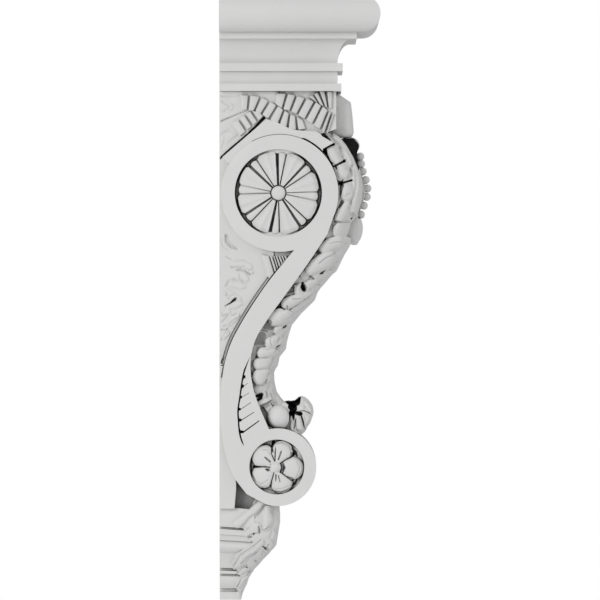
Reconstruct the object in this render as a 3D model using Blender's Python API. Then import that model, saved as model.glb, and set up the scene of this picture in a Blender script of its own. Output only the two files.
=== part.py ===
"""A carved scroll corbel: one solid, primed white, made to be fixed to a wall by its flat back.

The drawing is in millimetres. X runs across the corbel, "out" is the distance from the wall
(the front of the corbel looks along -Y), and "up" is the height above the middle of its back.
"""

import math

import bmesh
import bpy
from mathutils import Matrix, Vector
from mathutils.geometry import interpolate_bezier

UNIT = 0.001

# Whole corbel
TOTAL_HEIGHT = 660.0
TOP = TOTAL_HEIGHT / 2
BOTTOM = -TOTAL_HEIGHT / 2
BEHIND_WALL = 6.0

# Half widths of the layers, from the outside in
NECK_HALF_WIDTH = 68.0
SCROLL_HALF_WIDTH = 66.0
SPANDREL_HALF_WIDTH = 65.0
PANEL_HALF_WIDTH = 60.5
CORE_HALF_WIDTH = 48.0
LEAF_HALF_WIDTH = 52.0
LEAF_BACKING_HALF_WIDTH = 38.0

# Cap: a bullnose roll over a fillet, a cove and two small bands
NECK_OUT = 130.0
ROLL_RADIUS = 19.8
ROLL_CENTRE_PROJECTION = 27.0
ROLL_CENTRE_BELOW_TOP = 15.0
UPPER_FILLET_PROJECTION = 21.0
UPPER_FILLET_HEIGHT = 7.0
COVE_WIDTH = 15.0
COVE_HEIGHT = 26.5
NECK_BAND_PROJECTION = 5.7
NECK_BAND_HEIGHT = 8.6
FRIEZE_HEIGHT = 13.7
ASTRAGAL_PROJECTION = 4.2
ASTRAGAL_HEIGHT = 8.1
CAP_FOOT_HEIGHT = 6.0
CAP_FOOT_SETBACK = 14.0

# Upper volute, with a rosette of broad petals and a slim one between each two. Each spoke of a
# rosette is (degrees from the slim petal's middle, reach, kind), each ring (share of the reach,
# heights above the pocket's floor by kind).
UPPER_VOLUTE = (66.5, 119.0)
UPPER_VOLUTE_RADIUS = 64.5
UPPER_ROSETTE_RADIUS = 48.0
UPPER_ROSETTE_DEPTH = 9.0
UPPER_PETAL_TURN = -3.0
UPPER_PETAL_PITCH = 45.0
UPPER_SPOKES = [(-22.5, 46.6, "middle"), (-6.8, 46.0, "edge"), (-4.6, 44.0, "groove"),
                (0, 46.2, "slim"), (4.6, 44.0, "groove"), (6.8, 46.0, "edge")]
UPPER_RINGS = [(1.0, {"middle": 5.0, "edge": 3.4, "groove": 0.0, "slim": 3.6}),
               (0.92, {"middle": 6.6, "edge": 5.2, "groove": 0.3, "slim": 6.4}),
               (0.55, {"middle": 6.0, "edge": 5.0, "groove": 1.0, "slim": 5.0}),
               (0.1, {"middle": 3.6, "edge": 3.2, "groove": 2.6, "slim": 3.2})]
UPPER_HUB_RADIUS = 5.6

# Lower volute, with a flower of round petals
LOWER_VOLUTE = (63.9, -182.5)
LOWER_VOLUTE_RADIUS = 42.7
LOWER_ROSETTE_RADIUS = 29.5
LOWER_ROSETTE_DEPTH = 8.0
LOWER_PETAL_TURN = 36.0
LOWER_PETAL_PITCH = 72.0
LOWER_SPOKES = [(-36, 28.4, "middle"), (-20, 27.6, "shoulder"), (-6, 23.0, "edge"), (0, 16.0, "groove"),
                (6, 23.0, "edge"), (20, 27.6, "shoulder")]
LOWER_RINGS = [(1.0, {"middle": 3.8, "shoulder": 3.4, "edge": 1.5, "groove": 0.0}),
               (0.86, {"middle": 6.0, "shoulder": 5.6, "edge": 3.6, "groove": 0.3}),
               (0.5, {"middle": 5.0, "shoulder": 4.6, "edge": 3.6, "groove": 1.0}),
               (0.16, {"middle": 3.0, "shoulder": 2.8, "edge": 2.4, "groove": 2.0})]
LOWER_BUTTON_RADIUS = 5.2

# Ribbon that joins the volutes: the points (out, up) that its edges pass through
RIBBON_FRONT = [(119, 74), (98, 42.5), (75.5, 11), (53, -20), (39, -44), (34.2, -70),
                (37.6, -97), (46, -121), (57, -144)]
RIBBON_BACK = [(56, 24.3), (39, 0), (25, -22.5), (12.5, -46.5), (5, -72),
               (2.2, -100), (1.8, -132), (5.7, -163), (15, -191), (30, -212)]
RIBBON_INNER = [(34.1, -60.6), (29.3, -71), (24.9, -83), (22, -107), (20.3, -120),
                (21, -131), (22.1, -145), (24.9, -157.4)]
RIBBON_GROOVE_WIDTH = 2.8
RIBBON_GROOVE_DEPTH = 9.0

# Cuts in the web between the ribbon and its front edge: the two ends of each
WEB_CUTS = [((24.6, -93.5), (31.6, -90.2)), ((22.6, -106), (32.2, -101)),
            ((21.2, -118.4), (35.2, -111.6)), ((21.4, -131.6), (39.2, -121.8)),
            ((24.2, -144.4), (43.6, -131.4))]
WEB_CUT_WIDTH = 1.8
WEB_CUT_DEPTH = 3.0

# Narrow fillet along the back of the ribbon, and the groove beside the spandrel
BACK_FILLET_HALF_WIDTH = 63.0
BACK_FILLET_WIDTH = 4.5
SPANDREL_GROOVE = ((1, 157), (49.5, 201.5))

# Pleated bands on the panels: upper edge, lower edge, pleats
BAND_TOP_HALF_WIDTH = 65.2
BAND_LONG = ([(23.7, 226), (45.1, 224.7), (71.5, 209.8), (84.7, 202.6), (97, 194.5)],
             [(24, 211.2), (38.8, 209.8), (64.9, 194.3), (86, 188.7), (97, 192)], 8)
BAND_FRONT = ([(62.6, 228), (84.7, 226), (105.4, 218.9), (128, 202)],
              [(61.9, 217), (78.1, 209), (95.3, 200), (121, 184)], 8)
BAND_BACK = ([(8, 190), (14.1, 195.3), (27.6, 205.9), (42, 211), (51, 206)],
             [(17, 180.5), (22, 184.1), (36.5, 192.7), (47, 201), (50.5, 204.5)], 6)
BAND_FAN = ([(101, 225), (108, 229.5), (119, 229.8), (126, 228)],
            [(111.5, 216), (115.9, 217), (120, 216), (124.5, 214)], 4)
BAND_UNDER_RING = ([(54.8, 51.5), (64, 52), (76, 51)], [(60.5, 31.5), (64.5, 36.5), (70, 42)], 6)
RIDGE_UNDER_RING = ([(44, 52), (54.8, 51.5)], [(52, 24.5), (60.5, 31.5)], 1)
PLEAT_DEPTH = 3.4

# Front leaf
LEAF_CLEARANCE = (3.0, 6.0)
LEAF_ANCHOR = 10.0
LEAF_NOTCHES = [0.0, 0.065, 0.145, 0.235, 0.345, 0.44, 0.535, 0.675, 0.73, 0.795, 0.86, 1.0]
LEAF_NOTCH = 6.5
LEAF_RELIEF = 2.4
LEAF_SLANT = 0.03
LEAF_CREST = [(138, 96), (142, 76), (139, 56), (130, 37), (113, 16.5), (91, -11.5), (76.5, -34),
              (71, -58), (63.5, -76), (61.5, -92), (66, -105), (76, -113)]

# Upper leaf: a lobed edge and a smooth rim on each side of a hollow, on arcs about the volute
RIM_RADIUS = (90.6, 82.0)
RIM_OUTER_HALF_WIDTH = 35.0
RIM_INNER_HALF_WIDTH = 26.0
HOLLOW_DEPTH = 13.0
UPPER_NOTCH = 4.5
UPPER_LEAF_FIRST_DEGREES = 52.0
UPPER_LEAF_LAST_DEGREES = -21.0
UPPER_LOBES = 5

# Pearls down the middle, on an arc of their own
PEARL_RADIUS = 4.7
PEARLS = 9
PEARL_ARC_CENTRE = (60.0, 127.0)
PEARL_ARC_RADIUS = 103.0
PEARL_FIRST_DEGREES = 26.0
PEARL_LAST_DEGREES = -18.5
PEARL_FILLET_HALF_WIDTH = 8.0

# Tongue below the pearls
TONGUE_CENTRE = (145.0, 78.0)
TONGUE_RADII = (14.0, 17.0)
TONGUE_HALF_WIDTH = 17.0

# Hood under the cap
HOOD_HALF_WIDTH = 37.0
HOOD_PROFILE = [(112, 234), (135, 229.5), (144.5, 222), (148, 208), (149.3, 196), (147.8, 187.5),
                (138, 183.5), (112, 182)]

# Curled tip of the leaf: its reach from the curl's centre, from the top round to the underside
CURL_CENTRE = (80.0, -121.0)
CURL_HALF_WIDTH = 41.0
CURL_REACH = [(100, 13), (75, 14), (53, 17.5), (29, 21.8), (2, 24), (-33, 26), (-61, 31), (-90, 34),
              (-130, 28), (-165, 20), (-200, 15), (-235, 13)]
CURL_FOLD_DEPTH = 0.14
CURL_HOLLOW_CENTRE = (82.5, -116.0)
CURL_HOLLOW_RADII = (7.0, 8.5)
CURL_LOBE_CENTRE = (65.6, -127.0)
CURL_LOBE_RADII = (12.0, 14.0)

# Base: bands stacked downwards, each (share of the base's height, set in at its top, set in at its
# foot, bulge)
PANEL_BOTTOM = -227.0
NECK_INTO_BASE = 11.0
BASE_OUT = 49.0
BASE_HALF_WIDTH = 54.0
BASE_DROOP = 4.5
BASE_BANDS = [(0.212, 0, 1, 1.5), (0.026, 5, 5, 0), (0.058, 1.5, 1.5, 0), (0.063, 4, 4.5, 0),
              (0.127, 6, 7, 4.5), (0.137, 9, 16.5, 0), (0.032, 20, 20, 0), (0.042, 16.5, 16.5, 0),
              (0.026, 19.5, 19.5, 0), (0.111, 17.5, 23, 2), (0.042, 27, 27, 0)]
BASE_FOOT_SET_IN = 25.0
BASE_OVERLAP = 5.0

# Leaf over the front of the base
BASE_LEAF_ROOT = [(52, -218), (42, -232), (29, -248), (25, -264), (23, -280), (18, -296), (19, -310), (20, -326)]
BASE_LEAF_CREST = [(68, -214), (67, -238), (63, -260), (60, -273), (44, -288), (32, -302), (28, -315), (25.5, -327)]
BASE_LEAF_HALF_WIDTHS = (56, 31)
BASE_LOBES = 4

# Hollow between the scroll and the foot of the panel
POCKET = [(21.5, -201), (17.5, -226), (31.5, -228), (27, -214)]
POCKET_FLOOR_HALF_WIDTH = 34.0


def smooth_line(points, per_span):
    """The points of a smooth curve through the given ones, per_span to each span."""
    line = []
    stops = [Vector((out, up, 0)) for out, up in points]
    for i in range(len(stops) - 1):
        before = stops[max(i - 1, 0)]
        start, end = stops[i], stops[i + 1]
        after = stops[min(i + 2, len(stops) - 1)]
        handle_out = start + (end - before) / 6
        handle_in = end - (after - start) / 6
        line += interpolate_bezier(start, handle_out, handle_in, end, per_span + 1)[:-1]
    line.append(stops[-1])
    return [(point.x, point.y) for point in line]


def arc(centre, radius, start_degrees, end_degrees, steps):
    """The points of an arc, both ends included."""
    points = []
    for i in range(steps + 1):
        angle = math.radians(start_degrees + (end_degrees - start_degrees) * i / steps)
        points.append((centre[0] + radius * math.cos(angle), centre[1] + radius * math.sin(angle)))
    return points


def circle(centre, radius, steps):
    """The points of a full circle."""
    return arc(centre, radius, 0, 360, steps)[:-1]


def offset_line(line, distance):
    """The line moved sideways, away from the wall where it runs down and the distance is positive."""
    moved = []
    for i, (out, up) in enumerate(line):
        ahead = line[min(i + 1, len(line) - 1)]
        behind = line[max(i - 1, 0)]
        run = Vector((ahead[0] - behind[0], ahead[1] - behind[1])).normalized()
        moved.append((out - run.y * distance, up + run.x * distance))
    return moved


def mix(start, end, share):
    """The value or point at a share of the way from start to end."""
    if isinstance(start, (tuple, list)):
        return tuple(a + (b - a) * share for a, b in zip(start, end))
    return start + (end - start) * share


def at(line, share):
    """The point at a share, from 0 to 1, of a line's length."""
    lengths = [math.dist(a, b) for a, b in zip(line, line[1:])]
    left = max(0.0, min(1.0, share)) * sum(lengths)
    for i, length in enumerate(lengths):
        if left <= length:
            return mix(line[i], line[i + 1], left / length)
        left -= length
    return line[-1]


def nearest_share(line, point, samples=120):
    """The share of a line's length where it passes closest to a point."""
    return min(range(samples + 1), key=lambda i: math.dist(at(line, i / samples), point)) / samples


def close_shell(mesh, loops):
    """Adds a closed shell through loops of equal length, each of points (x, out, up)."""
    rings = [[mesh.verts.new((x, -out, up)) for x, out, up in loop] for loop in loops]
    faces = [mesh.faces.new(rings[0]), mesh.faces.new(rings[-1])]
    for ring, following in zip(rings, rings[1:]):
        for i in range(len(ring)):
            j = (i + 1) % len(ring)
            faces.append(mesh.faces.new((ring[i], ring[j], following[j], following[i])))
    for face in faces:
        face.normal_update()
    made = bmesh.ops.triangulate(mesh, faces=faces)
    bmesh.ops.recalc_face_normals(mesh, faces=made["faces"])


def slab(mesh, outline, inner, outer, side):
    """Adds an outline (out, up) as a slab between two distances from the middle, on one side."""
    close_shell(mesh, [[(side * x, out, up) for out, up in outline] for x in (inner, outer)])


def through_slab(mesh, outline, half_width):
    """Adds an outline as a slab across the whole corbel."""
    close_shell(mesh, [[(x, out, up) for out, up in outline] for x in (-half_width, half_width)])


def ball(mesh, x, centre, x_radius, radii, segments=10, rings=6):
    """Adds an egg-shaped shell round a point (x, out, up)."""
    place = Matrix.Translation((x, -centre[0], centre[1]))
    size = Matrix.Diagonal((x_radius, radii[0], radii[1], 1))
    bmesh.ops.create_uvsphere(mesh, u_segments=segments, v_segments=rings, radius=1, matrix=place @ size)


def scroll_front():
    """The front edge of the scroll: round the upper volute, then down the ribbon."""
    return arc(UPPER_VOLUTE, UPPER_VOLUTE_RADIUS, 56, -24, 14) + smooth_line(RIBBON_FRONT, 4)


def cap_profile():
    """(projection beyond the neck, up) down the cap, from its top to inside the body."""
    roll_centre = (ROLL_CENTRE_PROJECTION, TOP - ROLL_CENTRE_BELOW_TOP)
    top_degrees = math.degrees(math.asin(ROLL_CENTRE_BELOW_TOP / ROLL_RADIUS))
    profile = arc(roll_centre, ROLL_RADIUS, top_degrees, -90, 12)
    level = roll_centre[1] - ROLL_RADIUS
    profile += [(UPPER_FILLET_PROJECTION, level), (UPPER_FILLET_PROJECTION, level - UPPER_FILLET_HEIGHT)]
    level -= UPPER_FILLET_HEIGHT
    for degrees in range(0, 91, 15):
        turn = math.radians(degrees)
        profile.append((COVE_WIDTH * (1 - math.sin(turn)), level - COVE_HEIGHT * (1 - math.cos(turn))))
    level -= COVE_HEIGHT
    profile += [(NECK_BAND_PROJECTION, level), (NECK_BAND_PROJECTION, level - NECK_BAND_HEIGHT)]
    level -= NECK_BAND_HEIGHT
    profile += [(0, level), (0, level - FRIEZE_HEIGHT)]
    level -= FRIEZE_HEIGHT
    profile += [(ASTRAGAL_PROJECTION, level), (ASTRAGAL_PROJECTION, level - ASTRAGAL_HEIGHT)]
    level -= ASTRAGAL_HEIGHT
    return profile + [(-CAP_FOOT_SETBACK, level), (-CAP_FOOT_SETBACK, level - CAP_FOOT_HEIGHT)]


def rectangle(half_width, out, up, behind, droop=0.0):
    """A level rectangle that starts behind the wall's face, its front let down by droop."""
    return [(-half_width, -behind, up), (-half_width, out, up - droop),
            (half_width, out, up - droop), (half_width, -behind, up)]


def cap(mesh):
    """The moulding round the top, returned on both sides."""
    close_shell(mesh, [rectangle(NECK_HALF_WIDTH + projection, NECK_OUT + projection, up, BEHIND_WALL)
                       for projection, up in cap_profile()])


def panel_block(mesh):
    """The block at the wall whose sides are the recessed panels."""
    top = cap_profile()[-1][1] + CAP_FOOT_HEIGHT / 2
    under_ribbon = offset_line(RIBBON_BACK, 7)[:-1]
    block = [(-BEHIND_WALL * 2, top), (NECK_OUT - 1, top), (NECK_OUT - 1, 190), (112, 160), (104, 90), (88, 60)]
    block += under_ribbon + [(24, -196), (18.8, -206), (16.5, PANEL_BOTTOM - 1.5), (-BEHIND_WALL * 2, PANEL_BOTTOM)]
    through_slab(mesh, block, PANEL_HALF_WIDTH)


def neck(mesh):
    """The core between the lower volute and the base."""
    behind = -BEHIND_WALL * 2.5
    foot = PANEL_BOTTOM - NECK_INTO_BASE
    start = LOWER_VOLUTE[1] + LOWER_VOLUTE_RADIUS * 0.7
    through_slab(mesh, [(behind, start), (LOWER_VOLUTE[0] * 0.65, start), (LOWER_VOLUTE[0], LOWER_VOLUTE[1]),
                        (BASE_OUT, foot), (behind, foot)], CORE_HALF_WIDTH)


def back_fillet(mesh):
    """The narrow fillet that follows the back of the ribbon down to the wall."""
    edge = smooth_line(RIBBON_BACK[:5] + [(6.5, -64)], 2)
    outline = offset_line(edge, -BACK_FILLET_WIDTH) + list(reversed(offset_line(edge, 5)))
    through_slab(mesh, outline, BACK_FILLET_HALF_WIDTH)


def scroll(mesh):
    """The scroll, right across: round the upper volute, down the ribbon's back, round the lower volute."""
    outline = arc(UPPER_VOLUTE, UPPER_VOLUTE_RADIUS, -24, 284, 38)
    outline += smooth_line([outline[-1]] + RIBBON_BACK, 3)[1:]
    outline += arc(LOWER_VOLUTE, LOWER_VOLUTE_RADIUS, -108, 102.7, 22)
    outline += list(reversed(smooth_line(RIBBON_FRONT, 3)[:-3]))
    through_slab(mesh, outline, SCROLL_HALF_WIDTH)


def spandrel(mesh, side):
    """The plain plate above the upper volute."""
    outline = [(2, 157), (50, 200.5), (62, 198), (78, 190), (97, 189), (112, 189), (124.5, 186),
               (127, 178), (110, 150), (90, 135), (40, 135), (4, 145)]
    slab(mesh, outline, PANEL_HALF_WIDTH - 4, SPANDREL_HALF_WIDTH, side)


def pleated_band(mesh, side, band):
    """A raised band on the panel, its face cut into pleats that each rise slowly and drop sharply."""
    upper, lower, pleats = smooth_line(band[0], 3), smooth_line(band[1], 3), band[2]
    loops = []
    for i in range(pleats):
        for part, depth in ((0.02, PLEAT_DEPTH), (0.16, 0.0)):
            share = (i + part) / pleats
            face = BAND_TOP_HALF_WIDTH - depth
            edges = (at(upper, share), at(lower, share))
            loops.append([(side * (PANEL_HALF_WIDTH - 3), *edges[0]), (side * face, *edges[0]),
                          (side * face, *edges[1]), (side * (PANEL_HALF_WIDTH - 3), *edges[1])])
    close_shell(mesh, loops)


def rosette_pocket(mesh, side, centre, radius, depth, turn, pitch, spokes, rings):
    """A round pocket whose floor is carved into petals."""
    floor = SCROLL_HALF_WIDTH - depth
    turns = [(turn + pitch * i + degrees, reach, kind)
             for i in range(round(360 / pitch)) for degrees, reach, kind in spokes]

    def ring(x_of, radius_of):
        loop = []
        for degrees, reach, kind in turns:
            angle, distance = math.radians(degrees), radius_of(reach)
            loop.append((side * x_of(kind), centre[0] + distance * math.cos(angle),
                         centre[1] + distance * math.sin(angle)))
        return loop

    loops = [ring(lambda kind: SCROLL_HALF_WIDTH + 5, lambda reach: radius),
             ring(lambda kind: floor, lambda reach: radius)]
    for share, heights in rings:
        loops.append(ring(lambda kind: floor + heights[kind], lambda reach: reach * share))
    close_shell(mesh, loops)


def hubs(mesh):
    """The small round hub of each rosette."""
    for side in (-1, 1):
        ball(mesh, side * (SCROLL_HALF_WIDTH - UPPER_ROSETTE_DEPTH + 2.6), UPPER_VOLUTE, 5.5,
             (UPPER_HUB_RADIUS,) * 2, 10, 4)
        ball(mesh, side * (SCROLL_HALF_WIDTH - LOWER_ROSETTE_DEPTH + 3), LOWER_VOLUTE, 5.2,
             (LOWER_BUTTON_RADIUS,) * 2, 10, 4)


def lobe_stations(notches):
    """(share of the leaf's length, how far the lobe stands out there) for three stations to each lobe."""
    for start, end in zip(notches, notches[1:]):
        for phase, wave in ((0.0, 0.0), (0.18, 0.85), (0.72, 1.0)):
            yield mix(start, end, phase), wave
    yield notches[-1], 0.0


def even_notches(lobes):
    """The shares of a leaf's length where the notches between equal lobes lie."""
    return [i / lobes for i in range(lobes + 1)]


def mirrored_loop(half, backing):
    """A loop across the corbel from its right half, which runs from the edge to the middle."""
    left = [(-x, out, up) for x, out, up in reversed(half) if x > 0]
    under = [(x, *place) for x, place in backing]
    return half + left + [(-x, out, up) for x, out, up in under] + list(reversed(under))


def front_leaf(mesh):
    """The long leaf down the front: lobed edges, convex across, with a raised midrib."""
    front = scroll_front()
    anchor = offset_line(front, -LEAF_ANCHOR)
    crest = smooth_line(LEAF_CREST, 4)
    section = [(1.0, 0.0, 0.0), (0.98, 0.4, 0.6), (0.84, 0.7, 1.0), (0.56, 0.87, 0.6), (0.16, 0.92, 0.1),
               (0.0, 1.0, 0.0)]
    loops = []
    for share, wave in lobe_stations(LEAF_NOTCHES):
        root = offset_line(front, mix(*LEAF_CLEARANCE, share))
        top = at(crest, share)
        place = min(nearest_share(root, top) + LEAF_SLANT, 1.0)
        foot = at(root, place)
        reach = math.dist(foot, top)
        notch = (1 - wave) * LEAF_NOTCH / reach
        half = []
        for x_share, rise, relief in section:
            lift = notch * (1 - rise) + rise + (wave - 0.5) * relief * LEAF_RELIEF / reach
            half.append((LEAF_HALF_WIDTH * x_share + wave * relief, *mix(foot, top, lift)))
        edge = half[0][1:]
        backing = [(LEAF_BACKING_HALF_WIDTH, edge), (LEAF_BACKING_HALF_WIDTH, at(anchor, place))]
        loops.append(mirrored_loop(half, backing))
    close_shell(mesh, loops)


def round_volute(radius, angle):
    """The point at a distance and an angle from the upper volute's centre."""
    return UPPER_VOLUTE[0] + radius * math.cos(angle), UPPER_VOLUTE[1] + radius * math.sin(angle)


def upper_leaf(mesh):
    """The leaf round the upper volute: lobed edges, and a rim on each side of the pearls."""
    loops = []
    for share, wave in lobe_stations(even_notches(UPPER_LOBES)):
        angle = math.radians(mix(UPPER_LEAF_FIRST_DEGREES, UPPER_LEAF_LAST_DEGREES, share))
        rim = mix(*RIM_RADIUS, share)
        edge = UPPER_VOLUTE_RADIUS + LEAF_CLEARANCE[0] + (1 - wave) * UPPER_NOTCH
        section = [(LEAF_HALF_WIDTH, edge), (LEAF_HALF_WIDTH - 3, mix(edge, rim, 0.5) + wave * 2),
                   (RIM_OUTER_HALF_WIDTH + 5, rim - 6 + wave * 1.5), (RIM_OUTER_HALF_WIDTH, rim),
                   (RIM_INNER_HALF_WIDTH, rim), (RIM_INNER_HALF_WIDTH - 3, rim - HOLLOW_DEPTH)]
        half = [(x, *round_volute(radius, angle)) for x, radius in section]
        anchor = round_volute(UPPER_VOLUTE_RADIUS - LEAF_ANCHOR, angle)
        backing = [(LEAF_BACKING_HALF_WIDTH, half[0][1:]), (LEAF_BACKING_HALF_WIDTH, anchor)]
        loops.append(mirrored_loop(half, backing))
    close_shell(mesh, loops)


def pearl_fillet(mesh):
    """The fillet that the pearls sit on."""
    degrees = (PEARL_FIRST_DEGREES + 3, PEARL_LAST_DEGREES - 3)
    high_line = arc(PEARL_ARC_CENTRE, PEARL_ARC_RADIUS - 1.5, *degrees, 6)
    low_line = arc(PEARL_ARC_CENTRE, PEARL_ARC_RADIUS - 24, *degrees, 6)
    w = PEARL_FILLET_HALF_WIDTH
    close_shell(mesh, [[(-w, *low), (-w * 0.8, *high), (w * 0.8, *high), (w, *low)]
                       for low, high in zip(low_line, high_line)])


def pearls(mesh):
    """The string of pearls down the middle."""
    for place in arc(PEARL_ARC_CENTRE, PEARL_ARC_RADIUS, PEARL_FIRST_DEGREES, PEARL_LAST_DEGREES, PEARLS - 1):
        ball(mesh, 0, place, PEARL_RADIUS, (PEARL_RADIUS,) * 2, 8, 4)


def tongue(mesh):
    """The round tongue that the pearls hang over."""
    ball(mesh, 0, TONGUE_CENTRE, TONGUE_HALF_WIDTH, TONGUE_RADII, 12, 7)


def hood(mesh):
    """The plain rounded hood that the leaf and the pearls come out from."""
    middle = (118, 208)
    loops = []
    for share, size in ((-1, 0.8), (-0.9, 0.93), (-0.6, 0.985), (0, 1), (0.6, 0.985), (0.9, 0.93), (1, 0.8)):
        loops.append([(HOOD_HALF_WIDTH * share, *mix(middle, point, size)) for point in HOOD_PROFILE])
    close_shell(mesh, loops)


def curl(mesh):
    """The leaf's tip, turned over into a fan of folds, with a round lobe at each side."""
    loops = []
    for share, size in ((-1, 0.45), (-0.9, 0.78), (-0.62, 0.97), (0, 1), (0.62, 0.97), (0.9, 0.78), (1, 0.45)):
        loop = []
        for i, (degrees, reach) in enumerate(CURL_REACH):
            fold = 1 - CURL_FOLD_DEPTH * (i % 2) * abs(share)
            angle = math.radians(degrees)
            loop.append((CURL_HALF_WIDTH * share, CURL_CENTRE[0] + reach * size * fold * math.cos(angle),
                         CURL_CENTRE[1] + reach * size * fold * math.sin(angle)))
        loops.append(loop)
    close_shell(mesh, loops)


def curl_lobe(mesh, side):
    """The round lobe beside the curl."""
    ball(mesh, side * (CURL_HALF_WIDTH - 2), CURL_LOBE_CENTRE, 13, CURL_LOBE_RADII, 10, 6)


def curl_hollow(mesh, side):
    """The hollow at the heart of the curl."""
    ball(mesh, side * (CURL_HALF_WIDTH + 2), CURL_HOLLOW_CENTRE, 18, CURL_HOLLOW_RADII, 10, 6)


def base_profile():
    """(set in from the base's full size, up) down the stepped base to its foot."""
    level = PANEL_BOTTOM + 1
    whole = level - BOTTOM
    profile = [(1, level + BASE_OVERLAP)]
    for share, top_set_in, foot_set_in, bulge in BASE_BANDS:
        height = share * whole
        steps = 4 if bulge else 1
        for i in range(steps + 1):
            swell = bulge * math.sin(math.pi * i / steps) if bulge else 0
            profile.append((mix(top_set_in, foot_set_in, i / steps) - swell, level - height * i / steps))
        level -= height
    return profile + [(BASE_FOOT_SET_IN, level), (BASE_FOOT_SET_IN, BOTTOM)]


def base(mesh):
    """The stepped base, each band's front let down a little, less towards the foot."""
    loops = []
    for set_in, up in base_profile():
        droop = BASE_DROOP * (up - BOTTOM) / (PANEL_BOTTOM - BOTTOM)
        loops.append(rectangle(BASE_HALF_WIDTH - set_in, BASE_OUT - set_in, up, BEHIND_WALL * 1.5, droop))
    close_shell(mesh, loops)


def base_leaf(mesh):
    """The leaf that wraps the front of the base, its lobes reaching round the sides."""
    root, crest = smooth_line(BASE_LEAF_ROOT, 3), smooth_line(BASE_LEAF_CREST, 3)
    section = [(1.0, 0.0, 0.2), (0.98, 0.35, 1.0), (0.8, 0.68, 1.0), (0.45, 0.9, 0.6), (0.0, 1.0, 0.0)]
    loops = []
    for share, wave in lobe_stations(even_notches(BASE_LOBES)):
        width = mix(*BASE_LEAF_HALF_WIDTHS, share)
        foot, top = at(root, share), at(crest, share)
        reach = math.dist(foot, top)
        half = []
        for x_share, rise, relief in section:
            notch = (1 - wave) * 0.3 * (1 - rise)
            lift = rise + notch + (wave - 0.5) * relief * LEAF_RELIEF / reach
            half.append((width * x_share + (wave - 0.5) * relief * 2, *mix(foot, top, lift)))
        backing = [(width - 12, mix(foot, top, 0.2))]
        loops.append(mirrored_loop(half, backing))
    close_shell(mesh, loops)


def thin_cut(mesh, side, start, end, width, depth):
    """A narrow slot from start to end in the scroll's face."""
    run = (Vector(end) - Vector(start)).normalized() * width / 2
    across = Vector((-run.y, run.x))
    outline = [Vector(start) - across, Vector(end) - across * 0.4, Vector(end) + across * 0.4, Vector(start) + across]
    slab(mesh, [tuple(point) for point in outline], SCROLL_HALF_WIDTH - depth, SCROLL_HALF_WIDTH + 4, side)


def ribbon_groove():
    """The outline of the groove between the ribbon and the web, pointed at both ends."""
    line = smooth_line(RIBBON_INNER, 2)
    last = len(line) - 1
    far_edge = []
    for i, point in enumerate(offset_line(line, RIBBON_GROOVE_WIDTH)):
        far_edge.append(mix(line[i], point, math.sin(math.pi * i / last) ** 0.5))
    return line + list(reversed(far_edge[1:-1]))


def pockets(mesh, side):
    """The hollows of one side: both rosettes, the ribbon's groove and the one above the base."""
    rosette_pocket(mesh, side, UPPER_VOLUTE, UPPER_ROSETTE_RADIUS, UPPER_ROSETTE_DEPTH,
                   UPPER_PETAL_TURN, UPPER_PETAL_PITCH, UPPER_SPOKES, UPPER_RINGS)
    rosette_pocket(mesh, side, LOWER_VOLUTE, LOWER_ROSETTE_RADIUS, LOWER_ROSETTE_DEPTH,
                   LOWER_PETAL_TURN, LOWER_PETAL_PITCH, LOWER_SPOKES, LOWER_RINGS)
    slab(mesh, ribbon_groove(), SCROLL_HALF_WIDTH - RIBBON_GROOVE_DEPTH, SCROLL_HALF_WIDTH + 5, side)
    slab(mesh, POCKET, POCKET_FLOOR_HALF_WIDTH, SCROLL_HALF_WIDTH + 5, side)


def web_cuts(mesh, side):
    """The thin cuts across the web, and the long one beside the spandrel."""
    thin_cut(mesh, side, *SPANDREL_GROOVE, WEB_CUT_WIDTH * 1.6, SCROLL_HALF_WIDTH - PANEL_HALF_WIDTH + 2.5)
    for start, end in WEB_CUTS:
        thin_cut(mesh, side, start, end, WEB_CUT_WIDTH, WEB_CUT_DEPTH)


def behind_wall(mesh):
    """The space behind the wall's face, cut away so that the corbel's back is flat."""
    reach = TOTAL_HEIGHT
    through_slab(mesh, [(-reach, -reach), (0, -reach), (0, reach), (-reach, reach)], reach)


def object_from(name, build):
    """A new object whose mesh the build function fills, brought from the drawing's unit to metres."""
    mesh = bmesh.new()
    build(mesh)
    bmesh.ops.scale(mesh, vec=(UNIT,) * 3, verts=mesh.verts)
    data = bpy.data.meshes.new(name)
    mesh.to_mesh(data)
    mesh.free()
    thing = bpy.data.objects.new(name, data)
    bpy.context.scene.collection.objects.link(thing)
    return thing


def carve(corbel, operation, build, *details):
    """Joins what the build function makes to the corbel, or cuts it away."""
    name = " ".join([build.__name__.replace("_", " ")] + [str(detail) for detail in details[:1]])
    guide = object_from(name, lambda mesh: build(mesh, *details))
    guide.hide_render = True
    guide.display_type = "WIRE"
    modifier = corbel.modifiers.new(name, "BOOLEAN")
    modifier.operation = operation
    modifier.object = guide
    modifier.solver = "MANIFOLD"


def on_both_sides(build, *details):
    """A build function for both sides at once."""
    def both(mesh):
        for side in (-1, 1):
            build(mesh, side, *details)
    both.__name__ = build.__name__
    return both


def primed_white():
    """Matt white primer over carved wood."""
    material = bpy.data.materials.new("primed white")
    material.use_nodes = True
    shader = material.node_tree.nodes["Principled BSDF"]
    shader.inputs["Base Color"].default_value = (0.80, 0.80, 0.79, 1)
    shader.inputs["Roughness"].default_value = 0.6
    shader.inputs["Metallic"].default_value = 0.0
    return material


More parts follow.
